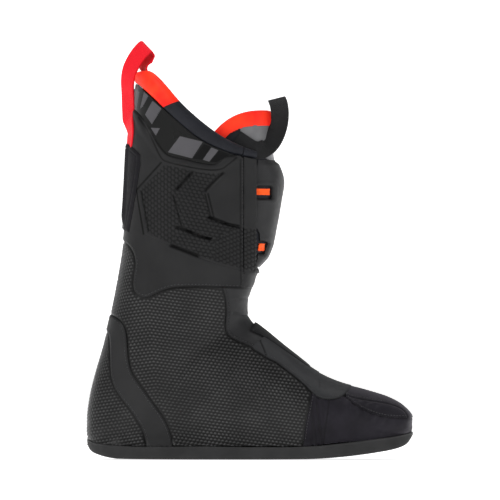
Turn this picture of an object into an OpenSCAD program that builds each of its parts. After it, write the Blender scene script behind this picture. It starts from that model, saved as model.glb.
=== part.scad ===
/* [Overall size] */
// Width across the ball of the foot
ball_w = 100; // [94:1:106]
// Width across the heel and ankle
heel_w = 78; // [74:1:82]
// Width across the widest part of the cuff
cuff_w = 108; // [106:1:112]

/* [Wall layers] */
// Thickness of the outer skin
skin_t = 1.6; // [1.2:0.1:2]
// Thickness of the padding foam
foam_t = 5.3; // [4:0.1:5.5]
// Thickness of the inner lining
lining_t = 0.9; // [0.6:0.1:1.2]
// Height by which moulded overlays stand above the skin
overlay_t = 1.1; // [0.6:0.1:1.4]
// Thickness of the two cuff flaps in front of their fold lines
flap_t = 2.8; // [2.5:0.1:3.6]
// Thickness of the footbed foam
footbed_t = 4; // [3:0.5:5]

/* [Cuff opening] */
// Position along the foot of the fold line of each flap
fold_x = -5.7; // [-6.5:0.1:-5]
// Position along the foot of the front edge of each flap
flap_x = 5.6; // [5:0.1:5.8]
// Height of the fold of the tongue above the floor
tongue_fold_z = 163; // [162:0.5:164]

/* [Pull loops] */
// Width of the rear pull loop's webbing
rear_web_w = 19; // [16:1:20]
// Width of the tongue pull loop's webbing
tongue_web_w = 14.5; // [12:0.5:16]
// Thickness of both loops' webbing
web_t = 1.6; // [1.2:0.1:1.8]

/* [Sole] */
// Width of the outsole across the ball
sole_ball_w = 98; // [92:1:102]
// Width of the outsole across the heel
sole_heel_w = 74; // [70:1:80]

/* [Hidden] */

$fn = 48;
layer_gap = 0.1;
seam_gap = 0.15;
ring_points = 28;
half_space = 90;

foam_top = -skin_t - layer_gap;
foam_low = foam_top - foam_t;
lining_top = foam_low - layer_gap;
lining_low = lining_top - lining_t;
wall_t = -lining_low;

ball_h = ball_w / 2;
heel_h = heel_w / 2;
cuff_h = cuff_w / 2;

// Sections from the toe, round the ankle and up to above the collar. Each is
// [front x, front z, rear x, rear z, half width, centre y, rear power, front power].
SECTIONS = [
    [141, 31, 141, 23.5, 17, 6, 0.7, 0.7],
    [136, 44.5, 135.5, 21, 34, 5, 0.5, 0.8],
    [122, 53.5, 121, 19.3, 0.84 * ball_h, 4, 0.45, 0.8],
    [102, 60, 101, 17, 0.94 * ball_h, 2, 0.42, 0.85],
    [78, 66.5, 76, 14, ball_h, 0, 0.4, 0.9],
    [56, 77, 50, 11.5, 0.99 * ball_h, -1, 0.4, 0.9],
    [33, 94, 16, 11, 0.91 * ball_h, -1, 0.4, 0.95],
    [15, 108.5, -20, 11, 0.84 * ball_h, 0, 0.4, 1],
    [4, 117, -62, 11, heel_h, 0, 0.42, 0.95],
    [-1, 123, -108, 11.5, heel_h, 0, 0.5, 0.85],
    [-2.3, 128, -138, 15, heel_h, 0, 0.62, 0.8],
    [-2.6, 133, -142.3, 32, 1.03 * heel_h, 0, 0.7, 0.75],
    [-2, 140, -138.5, 61, 1.08 * heel_h, 0, 0.72, 0.7],
    [2, 152, -127.5, 101, 1.14 * heel_h, 0, 0.75, 0.62],
    [9, 166, -119, 138, 0.89 * cuff_h, 0, 0.75, 0.56],
    [17, 188, -112, 176, 0.94 * cuff_h, 0, 0.75, 0.5],
    [21, 215, -108, 214, 0.98 * cuff_h, 0, 0.75, 0.5],
    [22, 245, -105.5, 262, cuff_h, 0, 0.75, 0.5],
    [22, 275, -102, 310, cuff_h, 0, 0.75, 0.5],
    [22, 305, -98, 350, cuff_h, 0, 0.75, 0.5]
];
last_section = len(SECTIONS) - 1;

// Seam lines in side view, each a list of [x, z]
CUFF_LOW = [
    [-125, 190], [-109, 189.5], [-104, 184.5], [-101.5, 177.5], [-100, 169], [-101.5, 152],
    [-98, 145], [-92, 142], [-87.5, 142.5], [-79, 147], [-70, 149.5], [-57, 150.5],
    [-30.5, 149.5], [-13, 148.5]
];
NECK_REAR = [
    [-24.5, 149.2], [-21, 142], [-20, 134], [-22, 116.5], [-20, 108.5], [-10.5, 103], [0, 98.5]
];
COVER_LOW = [
    [2, 98], [5, 93.5], [12, 88.5], [26, 80.5], [44, 68], [52.5, 60.5], [58.5, 55],
    [63, 52.5], [70, 52], [76, 53.5], [82, 56.5], [89, 66]
];
STRAP_FRONT = [
    [-121.5, 126], [-114, 121], [-109.5, 113], [-107.5, 100], [-106, 82], [-104, 73.5],
    [-97, 65.5], [-87.5, 54], [-79, 43], [-72.5, 34], [-68, 23.5], [-66.5, 8]
];
STRAP_REAR = [
    [-124, 109.5], [-122.5, 95.5], [-121.5, 82], [-121, 71], [-116.5, 57], [-108.5, 47],
    [-100.5, 36], [-94.5, 27], [-91, 18.5], [-89, 8]
];
TOE_REAR = [[45.5, 8], [49, 32.5], [52.5, 60.5]];
TOE_TOP_EDGE = [[82, 56], [92, 47], [100.5, 42], [114, 37.5], [127, 36], [145, 35.5]];
WINDOW = [
    [-16.5, 266.8], [-21, 263.5], [-25.5, 258.5], [-31.5, 256.5], [-44, 258], [-57, 261.5],
    [-70, 265], [-73.5, 267], [-79, 274], [-86, 284.5], [-92, 296.5], [-97, 303.5], [-101.5, 309]
];
COLLAR_TOP = [
    [-105, 337.5], [-97, 338.5], [-91, 339.5], [-81.5, 332.5], [-67.5, 317], [-53.5, 303.5],
    [-39.5, 291.5], [-24.5, 281], [-5.7, 272], [7, 267.5]
];
COLLAR_LOW = [
    [-105, 330.5], [-101, 329], [-96, 324.5], [-80.5, 309.5], [-67.5, 298], [-48, 281],
    [-35, 273.5], [-22, 268.3], [-9, 263.5], [7, 260.5]
];
RED_SEAM_X = -72.5;

function reversed(list) = [for (i = [len(list) - 1:-1:0]) list[i]];

// Smooth curve through the rows of a list, for u from 0 to 1
function spline(list, u) =
    let (n = len(list) - 1)
    let (s = min(max(u, 0), 1) * n)
    let (i = min(floor(s), n - 1))
    let (f = s - i)
    let (a = list[max(i - 1, 0)])
    let (b = list[i])
    let (c = list[i + 1])
    let (d = list[min(i + 2, n)])
    b + 0.5 * f * ((c - a) + f * ((2 * a - 5 * b + 4 * c - d) + f * (3 * (b - c) + d - a)));

// Point of the outer skin of the liner moved outward by rise. row counts sections from
// the toe, and turn goes from 0 at the rear past 90 on the medial side to 180 in front.
function skin_point(row, turn, rise) =
    let (s = spline(SECTIONS, row / last_section))
    let (front = [s[0], 0, s[1]])
    let (rear = [s[2], 0, s[3]])
    let (reach = norm(front - rear) / 2 + rise)
    let (along = (front - rear) / norm(front - rear))
    let (power = s[6] + (s[7] - s[6]) * (1 - cos(turn)) / 2)
    let (y = s[5] + sign(sin(turn)) * (s[4] + rise) * pow(abs(sin(turn)), power))
    let (toe_shift = rise * max(0, 1 - row))
    (front + rear) / 2 - along * reach * cos(turn) + [toe_shift, y, 0];

// Half width of the tongue at a height
function tongue_half_w(z) = z < 190
    ? 21 + 13.5 * sin(90 * (z - 165) / 25)
    : 34.5 + 4 * sin(90 * min(1, (z - 190) / 30));

// Front of the tongue, under its plate, from its fold to its top: [x, z]
TONGUE_FRONT = [
    [5, 165.5], [13, 178], [18.5, 192], [22, 208], [25, 226], [27, 243], [21.5, 259],
    [19.5, 272], [20.5, 284], [20, 294], [17, 303]
];
// Rear edge of the tongue's wings at the same stations
TONGUE_REAR = [
    [-12, 167], [-20, 178], [-27, 192], [-32, 208], [-36, 226], [-39, 243], [-41, 256],
    [-41, 265], [-39, 272], [-35, 278], [-30, 283.5]
];
last_station = len(TONGUE_FRONT) - 1;

// Point of the outer skin of the tongue moved outward by rise. row counts stations from
// the fold, and turn goes from -1 at the lateral wing past 0 in front to 1.
function tongue_point(row, turn, rise) =
    let (f = spline(TONGUE_FRONT, row / last_station))
    let (r = spline(TONGUE_REAR, row / last_station))
    let (share = abs(turn))
    let (nose = min(1, share / 0.6))
    let (wing = max(0, share - 0.6) / 0.4)
    let (bend_x = min(2, f[0] - 4))
    let (x = bend_x + (f[0] + rise - bend_x) * cos(90 * nose) + (r[0] - bend_x) * wing)
    let (along = (f[0] - x) / (f[0] - r[0]))
    let (z = f[1] + (r[1] - f[1]) * pow(max(0, along), 3))
    let (y = (tongue_half_w(f[1]) + rise) * pow(sin(90 * nose), 0.85))
    [x, sign(turn) * y, z];

// Closed solid between two offset copies of a skin, over a grid of its parameters
module patch(place, row_a, row_b, rows, turn_a, turn_b, turns, rise_out, rise_in) {
    layer = (rows + 1) * (turns + 1);
    points = [
        for (rise = [rise_out, rise_in])
            for (i = [0:rows])
                for (j = [0:turns])
                    place(
                        row_a + (row_b - row_a) * i / rows,
                        turn_a + (turn_b - turn_a) * j / turns,
                        rise
                    )
    ];
    function at(i, j, k) = k * layer + i * (turns + 1) + j;
    sheets = [
        for (i = [0:rows - 1])
            for (j = [0:turns - 1])
                each [
                    [at(i, j, 0), at(i, j + 1, 0), at(i + 1, j + 1, 0)],
                    [at(i, j, 0), at(i + 1, j + 1, 0), at(i + 1, j, 0)],
                    [at(i, j, 1), at(i + 1, j + 1, 1), at(i, j + 1, 1)],
                    [at(i, j, 1), at(i + 1, j, 1), at(i + 1, j + 1, 1)]
                ]
    ];
    side_edges = [
        for (i = [0:rows - 1])
            each [
                [at(i, 0, 0), at(i + 1, 0, 0), at(i + 1, 0, 1)],
                [at(i, 0, 0), at(i + 1, 0, 1), at(i, 0, 1)],
                [at(i, turns, 0), at(i + 1, turns, 1), at(i + 1, turns, 0)],
                [at(i, turns, 0), at(i, turns, 1), at(i + 1, turns, 1)]
            ]
    ];
    end_edges = [
        for (j = [0:turns - 1])
            each [
                [at(0, j, 0), at(0, j + 1, 1), at(0, j + 1, 0)],
                [at(0, j, 0), at(0, j, 1), at(0, j + 1, 1)],
                [at(rows, j, 0), at(rows, j + 1, 0), at(rows, j + 1, 1)],
                [at(rows, j, 0), at(rows, j + 1, 1), at(rows, j, 1)]
            ]
    ];
    polyhedron(points, concat(sheets, side_edges, end_edges));
}

// Closed ring of the liner's wall between two offsets. A toe start closes the front.
module ring_wall(row_a, row_b, rows, rise_out, rise_in, toe = false) {
    layer = (rows + 1) * ring_points;
    points = [
        for (rise = [rise_out, rise_in])
            for (i = [0:rows])
                for (j = [0:ring_points - 1])
                    skin_point(row_a + (row_b - row_a) * i / rows, 360 * j / ring_points, rise)
    ];
    function at(i, j, k) = k * layer + i * ring_points + (j % ring_points);
    sheets = [
        for (i = [0:rows - 1])
            for (j = [0:ring_points - 1])
                each [
                    [at(i, j, 0), at(i, j + 1, 0), at(i + 1, j + 1, 0)],
                    [at(i, j, 0), at(i + 1, j + 1, 0), at(i + 1, j, 0)],
                    [at(i, j, 1), at(i + 1, j + 1, 1), at(i, j + 1, 1)],
                    [at(i, j, 1), at(i + 1, j, 1), at(i + 1, j + 1, 1)]
                ]
    ];
    end_rim = [
        for (j = [0:ring_points - 1])
            each [
                [at(rows, j, 0), at(rows, j + 1, 0), at(rows, j + 1, 1)],
                [at(rows, j, 0), at(rows, j + 1, 1), at(rows, j, 1)]
            ]
    ];
    start_rim = [
        for (j = [0:ring_points - 1])
            each [
                [at(0, j, 0), at(0, j + 1, 1), at(0, j + 1, 0)],
                [at(0, j, 0), at(0, j, 1), at(0, j + 1, 1)]
            ]
    ];
    start_caps = [
        [for (j = [ring_points - 1:-1:0]) at(0, j, 0)],
        [for (j = [0:ring_points - 1]) at(0, j, 1)]
    ];
    polyhedron(points, concat(sheets, end_rim, toe ? start_caps : start_rim));
}

// Prism along Y of an outline given in side view
module side_cut(outline) {
    rotate([90, 0, 0])
        linear_extrude(height = 2 * half_space, center = true)
            polygon(outline);
}

// Half of space on one side of the middle plane: side is -1 lateral or 1 medial
module side_half(side) {
    translate([-200, side > 0 ? 0 : -half_space, -50])
        cube([400, half_space, 500]);
}

// Wall piece: the rows of a ring wall inside an outline
module wall_piece(outline, rows, rise_out, rise_in, toe = false) {
    intersection() {
        ring_wall(rows[0], rows[1], ceil(2 * (rows[1] - rows[0])), rise_out, rise_in, toe);
        side_cut(outline);
    }
}

// Wall piece of one side only
module side_piece(side, outline, rows, rise_out, rise_in) {
    intersection() {
        wall_piece(outline, rows, rise_out, rise_in);
        side_half(side);
    }
}

upper_outline = concat(
    [[-66.3, 5], [-66.3, 8]], [for (p = reversed(STRAP_FRONT)) if (p[1] > 8 && p[1] < 125) p + [seam_gap, 0]],
    [[-120.5, 126.3], [-128, 127], [-117, 189]],
    [for (p = CUFF_LOW) if (p[0] > -112 && p[0] < -25) p - [0, seam_gap]],
    [for (p = NECK_REAR) p - [seam_gap, seam_gap]],
    [for (p = COVER_LOW) if (p[0] < 52) p - [seam_gap, seam_gap]],
    [for (p = reversed(TOE_REAR)) p - [seam_gap, 0]], [[45.3, 5]]
);
heel_outline = concat(
    [[-160, 5]], [for (p = reversed(STRAP_REAR)) p - [seam_gap, 0]], [[-160, 109.5]]
);
strap_outline = concat(
    STRAP_FRONT, reversed(STRAP_REAR), [[-160, 109.7], [-160, 126]]
);
neck_outline = concat(
    NECK_REAR, [[2.3, 98.4], [12, 106.7], [30, 112], [30, 148.3], [-13, 148.3]]
);
cover_outline = concat(COVER_LOW, [[95, 80], [30, 112], [13, 106.9], [2.3, 98.2]]);
toe_low_outline = concat(TOE_REAR, [
    [58.5, 54.8], [63, 52.3], [70, 51.8], [76, 53.3], [82, 55.8]
], TOE_TOP_EDGE, [[160, 35], [160, 5], [45.5, 5]]);
toe_top_outline = concat(
    [for (p = TOE_TOP_EDGE) p + [0, seam_gap]], [[160, 36], [160, 70], [89.2, 66], [82.2, 56.3]]
);
cuff_outline = concat(
    CUFF_LOW, [[8, 148.5], [8, tongue_fold_z - 0.4], [fold_x - seam_gap, tongue_fold_z - 0.4]],
    [[fold_x - seam_gap, 262], [-9, 263.3]], WINDOW, [[-130, 309], [-130, 190]]
);
collar_panel_outline = concat(
    [for (p = WINDOW) p + [0, 0.3]], [[-130, 309.3], [-130, 330]],
    [for (p = COLLAR_LOW) if (p[0] < -16 && p[0] > -104) p - [0, 0.2]]
);
collar_band = concat(COLLAR_TOP, reversed(COLLAR_LOW));
flap_outline = [
    [fold_x + 0.15, tongue_fold_z + 0.3], [4.6, tongue_fold_z + 0.3], [flap_x, 172],
    [flap_x, 260.5], [fold_x + 0.15, 263]
];

CUFF_ROWS = [13, 19];
FOOT_ROWS = [4, 15];

module outsole() {
    // Plan outline: heel and toe rounds joined by slack curves
    heel_round = sole_heel_w / 2;
    ball_round = sole_ball_w / 2;
    toe_round = 39;
    color([0.17, 0.17, 0.18])
    intersection() {
        linear_extrude(height = 24)
            offset(r = 12)
                offset(delta = -12)
                    hull() {
                        translate([-142.5 + heel_round, 0])
                            circle(r = heel_round);
                        translate([78, 0])
                            circle(r = ball_round);
                        translate([142.5 - toe_round, 5])
                            circle(r = toe_round);
                    }
        side_cut([
            [-114, 0], [40, 0], [66, 1], [92, 3.5], [118, 7], [132, 10.5], [139, 15],
            [142.5, 21], [142.5, 22.8], [141, 22.4], [135.5, 20.2], [121, 18.3], [101, 16.1], [76, 13.2], [50, 10.6], [16, 10],
            [-62, 10], [-100, 10.2], [-122, 11.5], [-136, 13.5], [-142.5, 16.5], [-141, 11], [-136, 5.5], [-126, 1.8]
        ]);
    }
}

module upper_side(side) {
    color([0.2, 0.2, 0.21])
        side_piece(side, upper_outline, FOOT_ROWS, 0, -skin_t);
}

module heel_panel() {
    color([0.2, 0.2, 0.21])
        wall_piece(heel_outline, [7, 14], 0, -skin_t);
}

module heel_strap() {
    color([0.17, 0.17, 0.18])
        wall_piece(strap_outline, [7, 14], overlay_t, -skin_t);
}

module neck_panel() {
    color([0.18, 0.18, 0.19])
        wall_piece(neck_outline, [6, 15], 0, -skin_t);
}

module instep_cover() {
    color([0.22, 0.22, 0.23])
        wall_piece(cover_outline, [3, 9], overlay_t, -skin_t);
}

// Thin pull tab that lies along the top of the instep cover
module instep_tab() {
    color([0.1, 0.1, 0.11])
        patch(
            function(row, turn, rise) skin_point(row, turn, rise),
            5.15, 8.1, 8, 163, 197, 4, overlay_t + 1.6, overlay_t + 0.15
        );
}

module toe_box() {
    color([0.13, 0.12, 0.14])
        wall_piece(toe_low_outline, [0, 6], 0, -skin_t, true);
}

module toe_cap_top() {
    color([0.15, 0.14, 0.17])
        wall_piece(toe_top_outline, [0, 5], overlay_t, -skin_t, true);
}

module cuff_side(side) {
    color([0.21, 0.21, 0.21])
        side_piece(side, cuff_outline, CUFF_ROWS, overlay_t, -skin_t);
}

module collar_panel_side(side) {
    color([0.06, 0.06, 0.07])
        side_piece(side, collar_panel_outline, [16, 19], 0, -skin_t);
}

// The padded roll round the top of the cuff, cut into the rear part and two side parts
module collar_roll_side(side) {
    color([0.16, 0.17, 0.19])
        intersection() {
            side_piece(side, collar_band, [16, 19], 0.6, -wall_t);
            side_cut([
                [RED_SEAM_X + 3.5, 317], [RED_SEAM_X - 3.5, 300], [RED_SEAM_X - 3.5, 280],
                [fold_x - seam_gap, 250], [fold_x - seam_gap, 330], [RED_SEAM_X + 3.5, 330]
            ]);
        }
}

module collar_roll_rear() {
    color([0.85, 0.12, 0.12])
        intersection() {
            wall_piece(collar_band, [17, 19], 0.6, -wall_t);
            side_cut([
                [RED_SEAM_X + 3.3, 317], [RED_SEAM_X - 3.7, 300], [RED_SEAM_X - 3.7, 280],
                [-140, 280], [-140, 360], [RED_SEAM_X + 3.3, 360]
            ]);
        }
}

module collar_tip_side(side) {
    color([0.16, 0.17, 0.19])
        intersection() {
            side_piece(side, collar_band, [16, 19], 0.6, -flap_t);
            side_cut([
                [fold_x + 0.15, 263.3], [flap_x + 0.6, 260.9], [flap_x + 0.6, 280], [fold_x + 0.15, 280]
            ]);
        }
}

// Fabric sleeve on the back of the cuff, which holds the tails of the rear loop
module rear_sleeve() {
    color([0.05, 0.05, 0.06])
        patch(
            function(row, turn, rise) skin_point(row, turn, rise),
            15.75, 17.35, 4, -29, 29, 6, overlay_t + 4.7, overlay_t + 3.3
        );
}

module sleeve_bar_tack() {
    color([0.3, 0.3, 0.32])
        patch(
            function(row, turn, rise) skin_point(row, turn, rise),
            15.83, 15.93, 1, -8, 8, 2, overlay_t + 5.4, overlay_t + 4.8
        );
}

// Ribbon with a rectangular section along a path in the middle plane. Its width is
// turned by a lead angle about Z, as a loop twists a little when it is sewn.
module ribbon(path, width, thick, lead) {
    last = len(path) - 1;
    across = [sin(lead), cos(lead), 0];
    function ahead(i) = path[min(i + 1, last)] - path[max(i - 1, 0)];
    function normal(i) = let (d = ahead(i)) [d[1], 0, -d[0]] / norm(d);
    points = [
        for (i = [0:last])
            for (c = [[-1, -1], [1, -1], [1, 1], [-1, 1]])
                [path[i][0], 0, path[i][1]] + across * c[0] * width / 2 + normal(i) * c[1] * thick / 2
    ];
    faces = [
        for (i = [0:last - 1])
            for (c = [0:3])
                each [
                    [4 * i + c, 4 * i + (c + 1) % 4, 4 * i + 4 + (c + 1) % 4],
                    [4 * i + c, 4 * i + 4 + (c + 1) % 4, 4 * i + 4 + c]
                ]
    ];
    ends = [[3, 2, 1, 0], [4 * last, 4 * last + 1, 4 * last + 2, 4 * last + 3]];
    polyhedron(points, concat(faces, ends));
}

// Rear loop route in side view: up from the sleeve, over the top, down inside the collar
REAR_TAIL_OUT = [
    [-110.4, 214], [-109, 240], [-107.9, 262], [-107.4, 277], [-108.2, 287], [-109.5, 302],
    [-110.5, 320], [-110.5, 335.5]
];
REAR_BOW = [
    [-110.5, 341.6], [-109, 349], [-105.5, 355], [-101, 361], [-96.5, 364.5], [-91, 361.5],
    [-88, 356], [-88.5, 350], [-90.5, 345.5]
];
REAR_TAIL_IN = [[-86.8, 322], [-86.3, 312], [-88, 300]];

module rear_loop_tails() {
    color([0.9, 0.1, 0.15]) {
        ribbon(REAR_TAIL_OUT, rear_web_w - 2, web_t, 0);
        ribbon(REAR_TAIL_IN, rear_web_w - 2, web_t, 0);
    }
}

module rear_pull_loop() {
    color([0.9, 0.1, 0.15])
        ribbon(REAR_BOW, rear_web_w, web_t, 28);
}

ANKLE = [-72, 82];
ankle_r = 21;

module ankle_disc() {
    translate([ANKLE[0], 0, ANKLE[1]])
        rotate([90, 0, 0])
            cylinder(r = ankle_r, h = 2 * half_space, center = true, $fn = 24);
}

heel_pocket = [[-160, 16.2], [-104, 16.2], [-99, 50], [-104, 100], [-160, 100]];

module sole_board() {
    color([0.55, 0.5, 0.42])
        intersection() {
            ring_wall(1, 11, 20, foam_top, foam_low);
            side_cut([[-160, 5], [160, 5], [160, 20], [60, 16], [-160, 16]]);
        }
}

module foot_foam(side) {
    color([0.75, 0.74, 0.7])
        difference() {
            intersection() {
                ring_wall(1, 15, 28, foam_top, foam_low);
                side_half(side);
                side_cut([
                    [-160, 16.2], [60, 16.2], [160, 20.2], [160, 90], [40, 148.2], [-160, 148.2]
                ]);
            }
            ankle_disc();
            side_cut(heel_pocket);
        }
}

module cuff_foam() {
    color([0.75, 0.74, 0.7])
        intersection() {
            ring_wall(12, 19, 14, foam_top, foam_low);
            side_cut(concat(
                [[-150, 148.5], [8, 148.5], [8, tongue_fold_z - 0.6], [fold_x - 0.2, tongue_fold_z - 0.6]],
                [[fold_x - 0.2, 262]],
                [for (p = reversed(COLLAR_LOW)) if (p[0] < -6) p - [0, 0.4]],
                [[-150, 330]]
            ));
        }
}

module heel_counter() {
    color([0.6, 0.6, 0.62])
        intersection() {
            ring_wall(8, 14, 12, foam_top, foam_low);
            side_cut([
                for (p = heel_pocket) p[0] < -150 ? p : p - [0.15, 0]
            ]);
            translate([-200, -half_space, 16.4])
                cube([200, 2 * half_space, 83.4]);
        }
}

module ankle_pad(side) {
    color([0.5, 0.5, 0.52])
        intersection() {
            ring_wall(6, 15, 18, foam_top, foam_low);
            translate([ANKLE[0], 0, ANKLE[1]])
                rotate([90, 0, 0])
                    cylinder(r = ankle_r - 0.2, h = 2 * half_space, center = true, $fn = 24);
            side_half(side);
        }
}

module foot_lining() {
    color([0.12, 0.12, 0.13])
        wall_piece([[-160, 5], [160, 5], [160, 148.2], [-160, 148.2]], [1, 15], lining_top, lining_low);
}

module cuff_lining() {
    color([0.12, 0.12, 0.13])
        intersection() {
            ring_wall(12, 19, 14, lining_top, lining_low);
            side_cut(concat(
                [[-150, 148.5], [8, 148.5], [8, tongue_fold_z - 0.6], [fold_x - 0.2, tongue_fold_z - 0.6]],
                [[fold_x - 0.2, 262]],
                [for (p = reversed(COLLAR_LOW)) if (p[0] < -6) p - [0, 0.4]],
                [[-150, 330]]
            ));
        }
}

// The fixed part of the tongue, sewn inside the neck below the fold
module tongue_base() {
    color([0.25, 0.25, 0.26])
        patch(
            function(row, turn, rise) skin_point(row, turn, rise),
            6, 13.5, 15, 360 * 11 / ring_points, 360 * 17 / ring_points, 6, lining_low - 0.3, lining_low - 4
        );
}

module cuff_flap(side) {
    color([0.2, 0.2, 0.2])
        side_piece(side, flap_outline, CUFF_ROWS, overlay_t, -flap_t + overlay_t);
}

wing_t = 5;
plate_t = 2;

module tongue_foam() {
    color([0.7, 0.7, 0.68])
        patch(
            function(row, turn, rise) tongue_point(row, turn, rise),
            0, 9.5, 19, -0.98, 0.98, 22, -0.3, -wing_t
        );
}

module tongue_lining() {
    color([0.12, 0.12, 0.13])
        patch(
            function(row, turn, rise) tongue_point(row, turn, rise),
            0, 9.5, 19, -0.98, 0.98, 22, -wing_t - 0.2, -wing_t - 1.2
        );
}

module tongue_facing() {
    color([0.45, 0.45, 0.46])
        patch(
            function(row, turn, rise) tongue_point(row, turn, rise),
            6.5, 9.5, 6, -0.98, 0.98, 22, 0.5, -0.1
        );
}

module tongue_binding() {
    color([0.9, 0.15, 0.12])
        patch(
            function(row, turn, rise) tongue_point(row, turn, rise),
            9.55, 10, 1, -1, 1, 22, 0.8, -wing_t - 1.4
        );
}

// Middle heights of the plate's slots
SLOT_Z = [187, 235];
slot_x = [7.6, 17];
slot_h = 10;

module shin_plate() {
    color([0.3, 0.3, 0.3])
        difference() {
            patch(
                function(row, turn, rise) tongue_point(row, turn, rise),
                0.1, 6.3, 18, -0.44, 0.44, 16, plate_t, 0.05
            );
            for (z = SLOT_Z)
                for (side = [-1, 1])
                    translate([slot_x[0], side * 32 - 14, z - slot_h / 2])
                        cube([slot_x[1] - slot_x[0], 28, slot_h]);
        }
}

// Orange ribbon behind each slot, laid on the foam
module keeper_ribbons() {
    color([1, 0.4, 0.12])
        for (row = [1.65, 4.5])
            for (side = [-1, 1])
                patch(
                    function(r, turn, rise) tongue_point(r, turn, rise),
                    row - 0.17, row + 0.17, 1, side * 0.4 - 0.035, side * 0.4 + 0.035, 2, 1.3, 0.1
                );
}

// Tongue loop: a bow of webbing across the front of the tongue. Each leg runs from the
// side of the tongue to the middle of the bow: [x, distance from the middle plane, z].
LOOP_LEG = [
    [16, 33, 267], [19, 30.5, 274], [22.5, 27.5, 283], [25, 24.5, 292], [26, 21, 301],
    [25, 14, 309.5], [23.5, 0, 314]
];

function bow_point(s) =
    let (leg = spline(LOOP_LEG, 1 - abs(2 * s - 1)))
    [leg[0], (s < 0.5 ? -1 : 1) * leg[1], leg[2]];

// Direction of the webbing's width: along the tongue's side at the foot of each leg and
// fore and aft at the top
function bow_width(s) =
    let (k = 1 - abs(2 * s - 1))
    [1, (s < 0.5 ? 1 : -1) * 0.85 * pow(1 - k, 1.3), 0.25];

module tongue_pull_loop() {
    steps = 28;
    function path(i) = bow_point(i / steps);
    function ahead(i) = path(min(i + 1, steps)) - path(max(i - 1, 0));
    // Width runs fore and aft, square to the bow's own direction
    function across(i) =
        let (d = ahead(i) / norm(ahead(i)))
        let (w = bow_width(i / steps) - d * (bow_width(i / steps) * d))
        w / norm(w);
    function normal(i) = cross(ahead(i) / norm(ahead(i)), across(i));
    points = [
        for (i = [0:steps])
            for (c = [[-1, -1], [1, -1], [1, 1], [-1, 1]])
                path(i) + across(i) * c[0] * tongue_web_w / 2 + normal(i) * c[1] * web_t / 2
    ];
    faces = [
        for (i = [0:steps - 1])
            for (c = [0:3])
                each [
                    [4 * i + c, 4 * i + (c + 1) % 4, 4 * i + 4 + (c + 1) % 4],
                    [4 * i + c, 4 * i + 4 + (c + 1) % 4, 4 * i + 4 + c]
                ]
    ];
    ends = [[3, 2, 1, 0], [4 * steps, 4 * steps + 1, 4 * steps + 2, 4 * steps + 3]];
    color([0.06, 0.06, 0.06])
        polyhedron(points, concat(faces, ends));
}

// The space inside the foot's lining as one closed form, shrunk by a small clearance
module inner_space(gap) {
    rows = 28;
    points = [
        for (i = [0:rows])
            for (j = [0:ring_points - 1])
                skin_point(1 + i / 2, 360 * j / ring_points, lining_low - gap)
    ];
    function at(i, j) = i * ring_points + (j % ring_points);
    sheets = [
        for (i = [0:rows - 1])
            for (j = [0:ring_points - 1])
                each [
                    [at(i, j), at(i, j + 1), at(i + 1, j + 1)],
                    [at(i, j), at(i + 1, j + 1), at(i + 1, j)]
                ]
    ];
    ends = [
        [for (j = [ring_points - 1:-1:0]) at(0, j)],
        [for (j = [0:ring_points - 1]) at(rows, j)]
    ];
    polyhedron(points, concat(sheets, ends));
}

// Footbed: a plan outline cut by a side profile that follows the curve of the sole
FOOTBED_LINE = [[-128, 20.6], [50, 20.6], [76, 23], [101, 26.2], [124, 29]];

module footbed_layer(low, high, shrink) {
    intersection() {
        linear_extrude(height = 50)
            offset(delta = -shrink)
                hull() {
                    translate([-101, 0])
                        circle(r = 24);
                    translate([66, 0])
                        circle(r = 35);
                    translate([96, 3])
                        circle(r = 25);
                }
        side_cut(concat(
            [for (p = FOOTBED_LINE) p + [0, low]],
            [for (p = reversed(FOOTBED_LINE)) p + [0, high]]
        ));
    }
}

module footbed() {
    color([0.3, 0.3, 0.32])
        intersection() {
            footbed_layer(0, footbed_t, 0);
            inner_space(0.4);
        }
}

module footbed_cover() {
    color([0.15, 0.15, 0.17])
        intersection() {
            footbed_layer(footbed_t + 0.05, footbed_t + 0.85, 0.5);
            inner_space(0.9);
        }
}

outsole();
sole_board();
upper_side(-1);  // upper_lateral
upper_side(1);  // upper_medial
heel_panel();
heel_strap();
neck_panel();
instep_cover();
instep_tab();
toe_box();
toe_cap_top();
cuff_side(-1);  // cuff_lateral
cuff_side(1);  // cuff_medial
collar_panel_side(-1);  // collar_panel_lateral
collar_panel_side(1);  // collar_panel_medial
collar_roll_side(-1);  // collar_roll_lateral
collar_roll_side(1);  // collar_roll_medial
collar_roll_rear();
rear_sleeve();
sleeve_bar_tack();
rear_loop_tails();
foot_foam(-1);  // foot_foam_lateral
foot_foam(1);  // foot_foam_medial
cuff_foam();
heel_counter();
ankle_pad(-1);  // ankle_pad_lateral
ankle_pad(1);  // ankle_pad_medial
foot_lining();
cuff_lining();
tongue_base();
cuff_flap(-1);  // cuff_flap_lateral
cuff_flap(1);  // cuff_flap_medial
collar_tip_side(-1);  // collar_tip_lateral
collar_tip_side(1);  // collar_tip_medial
shin_plate();
tongue_foam();
tongue_lining();
tongue_facing();
tongue_binding();
keeper_ribbons();
tongue_pull_loop();
rear_pull_loop();
footbed();
footbed_cover();
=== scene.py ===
"""Inner liner of an alpine ski boot: the visual model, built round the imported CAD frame."""
import math

import bpy
import numpy as np
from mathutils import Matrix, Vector
from mathutils.kdtree import KDTree


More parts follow.
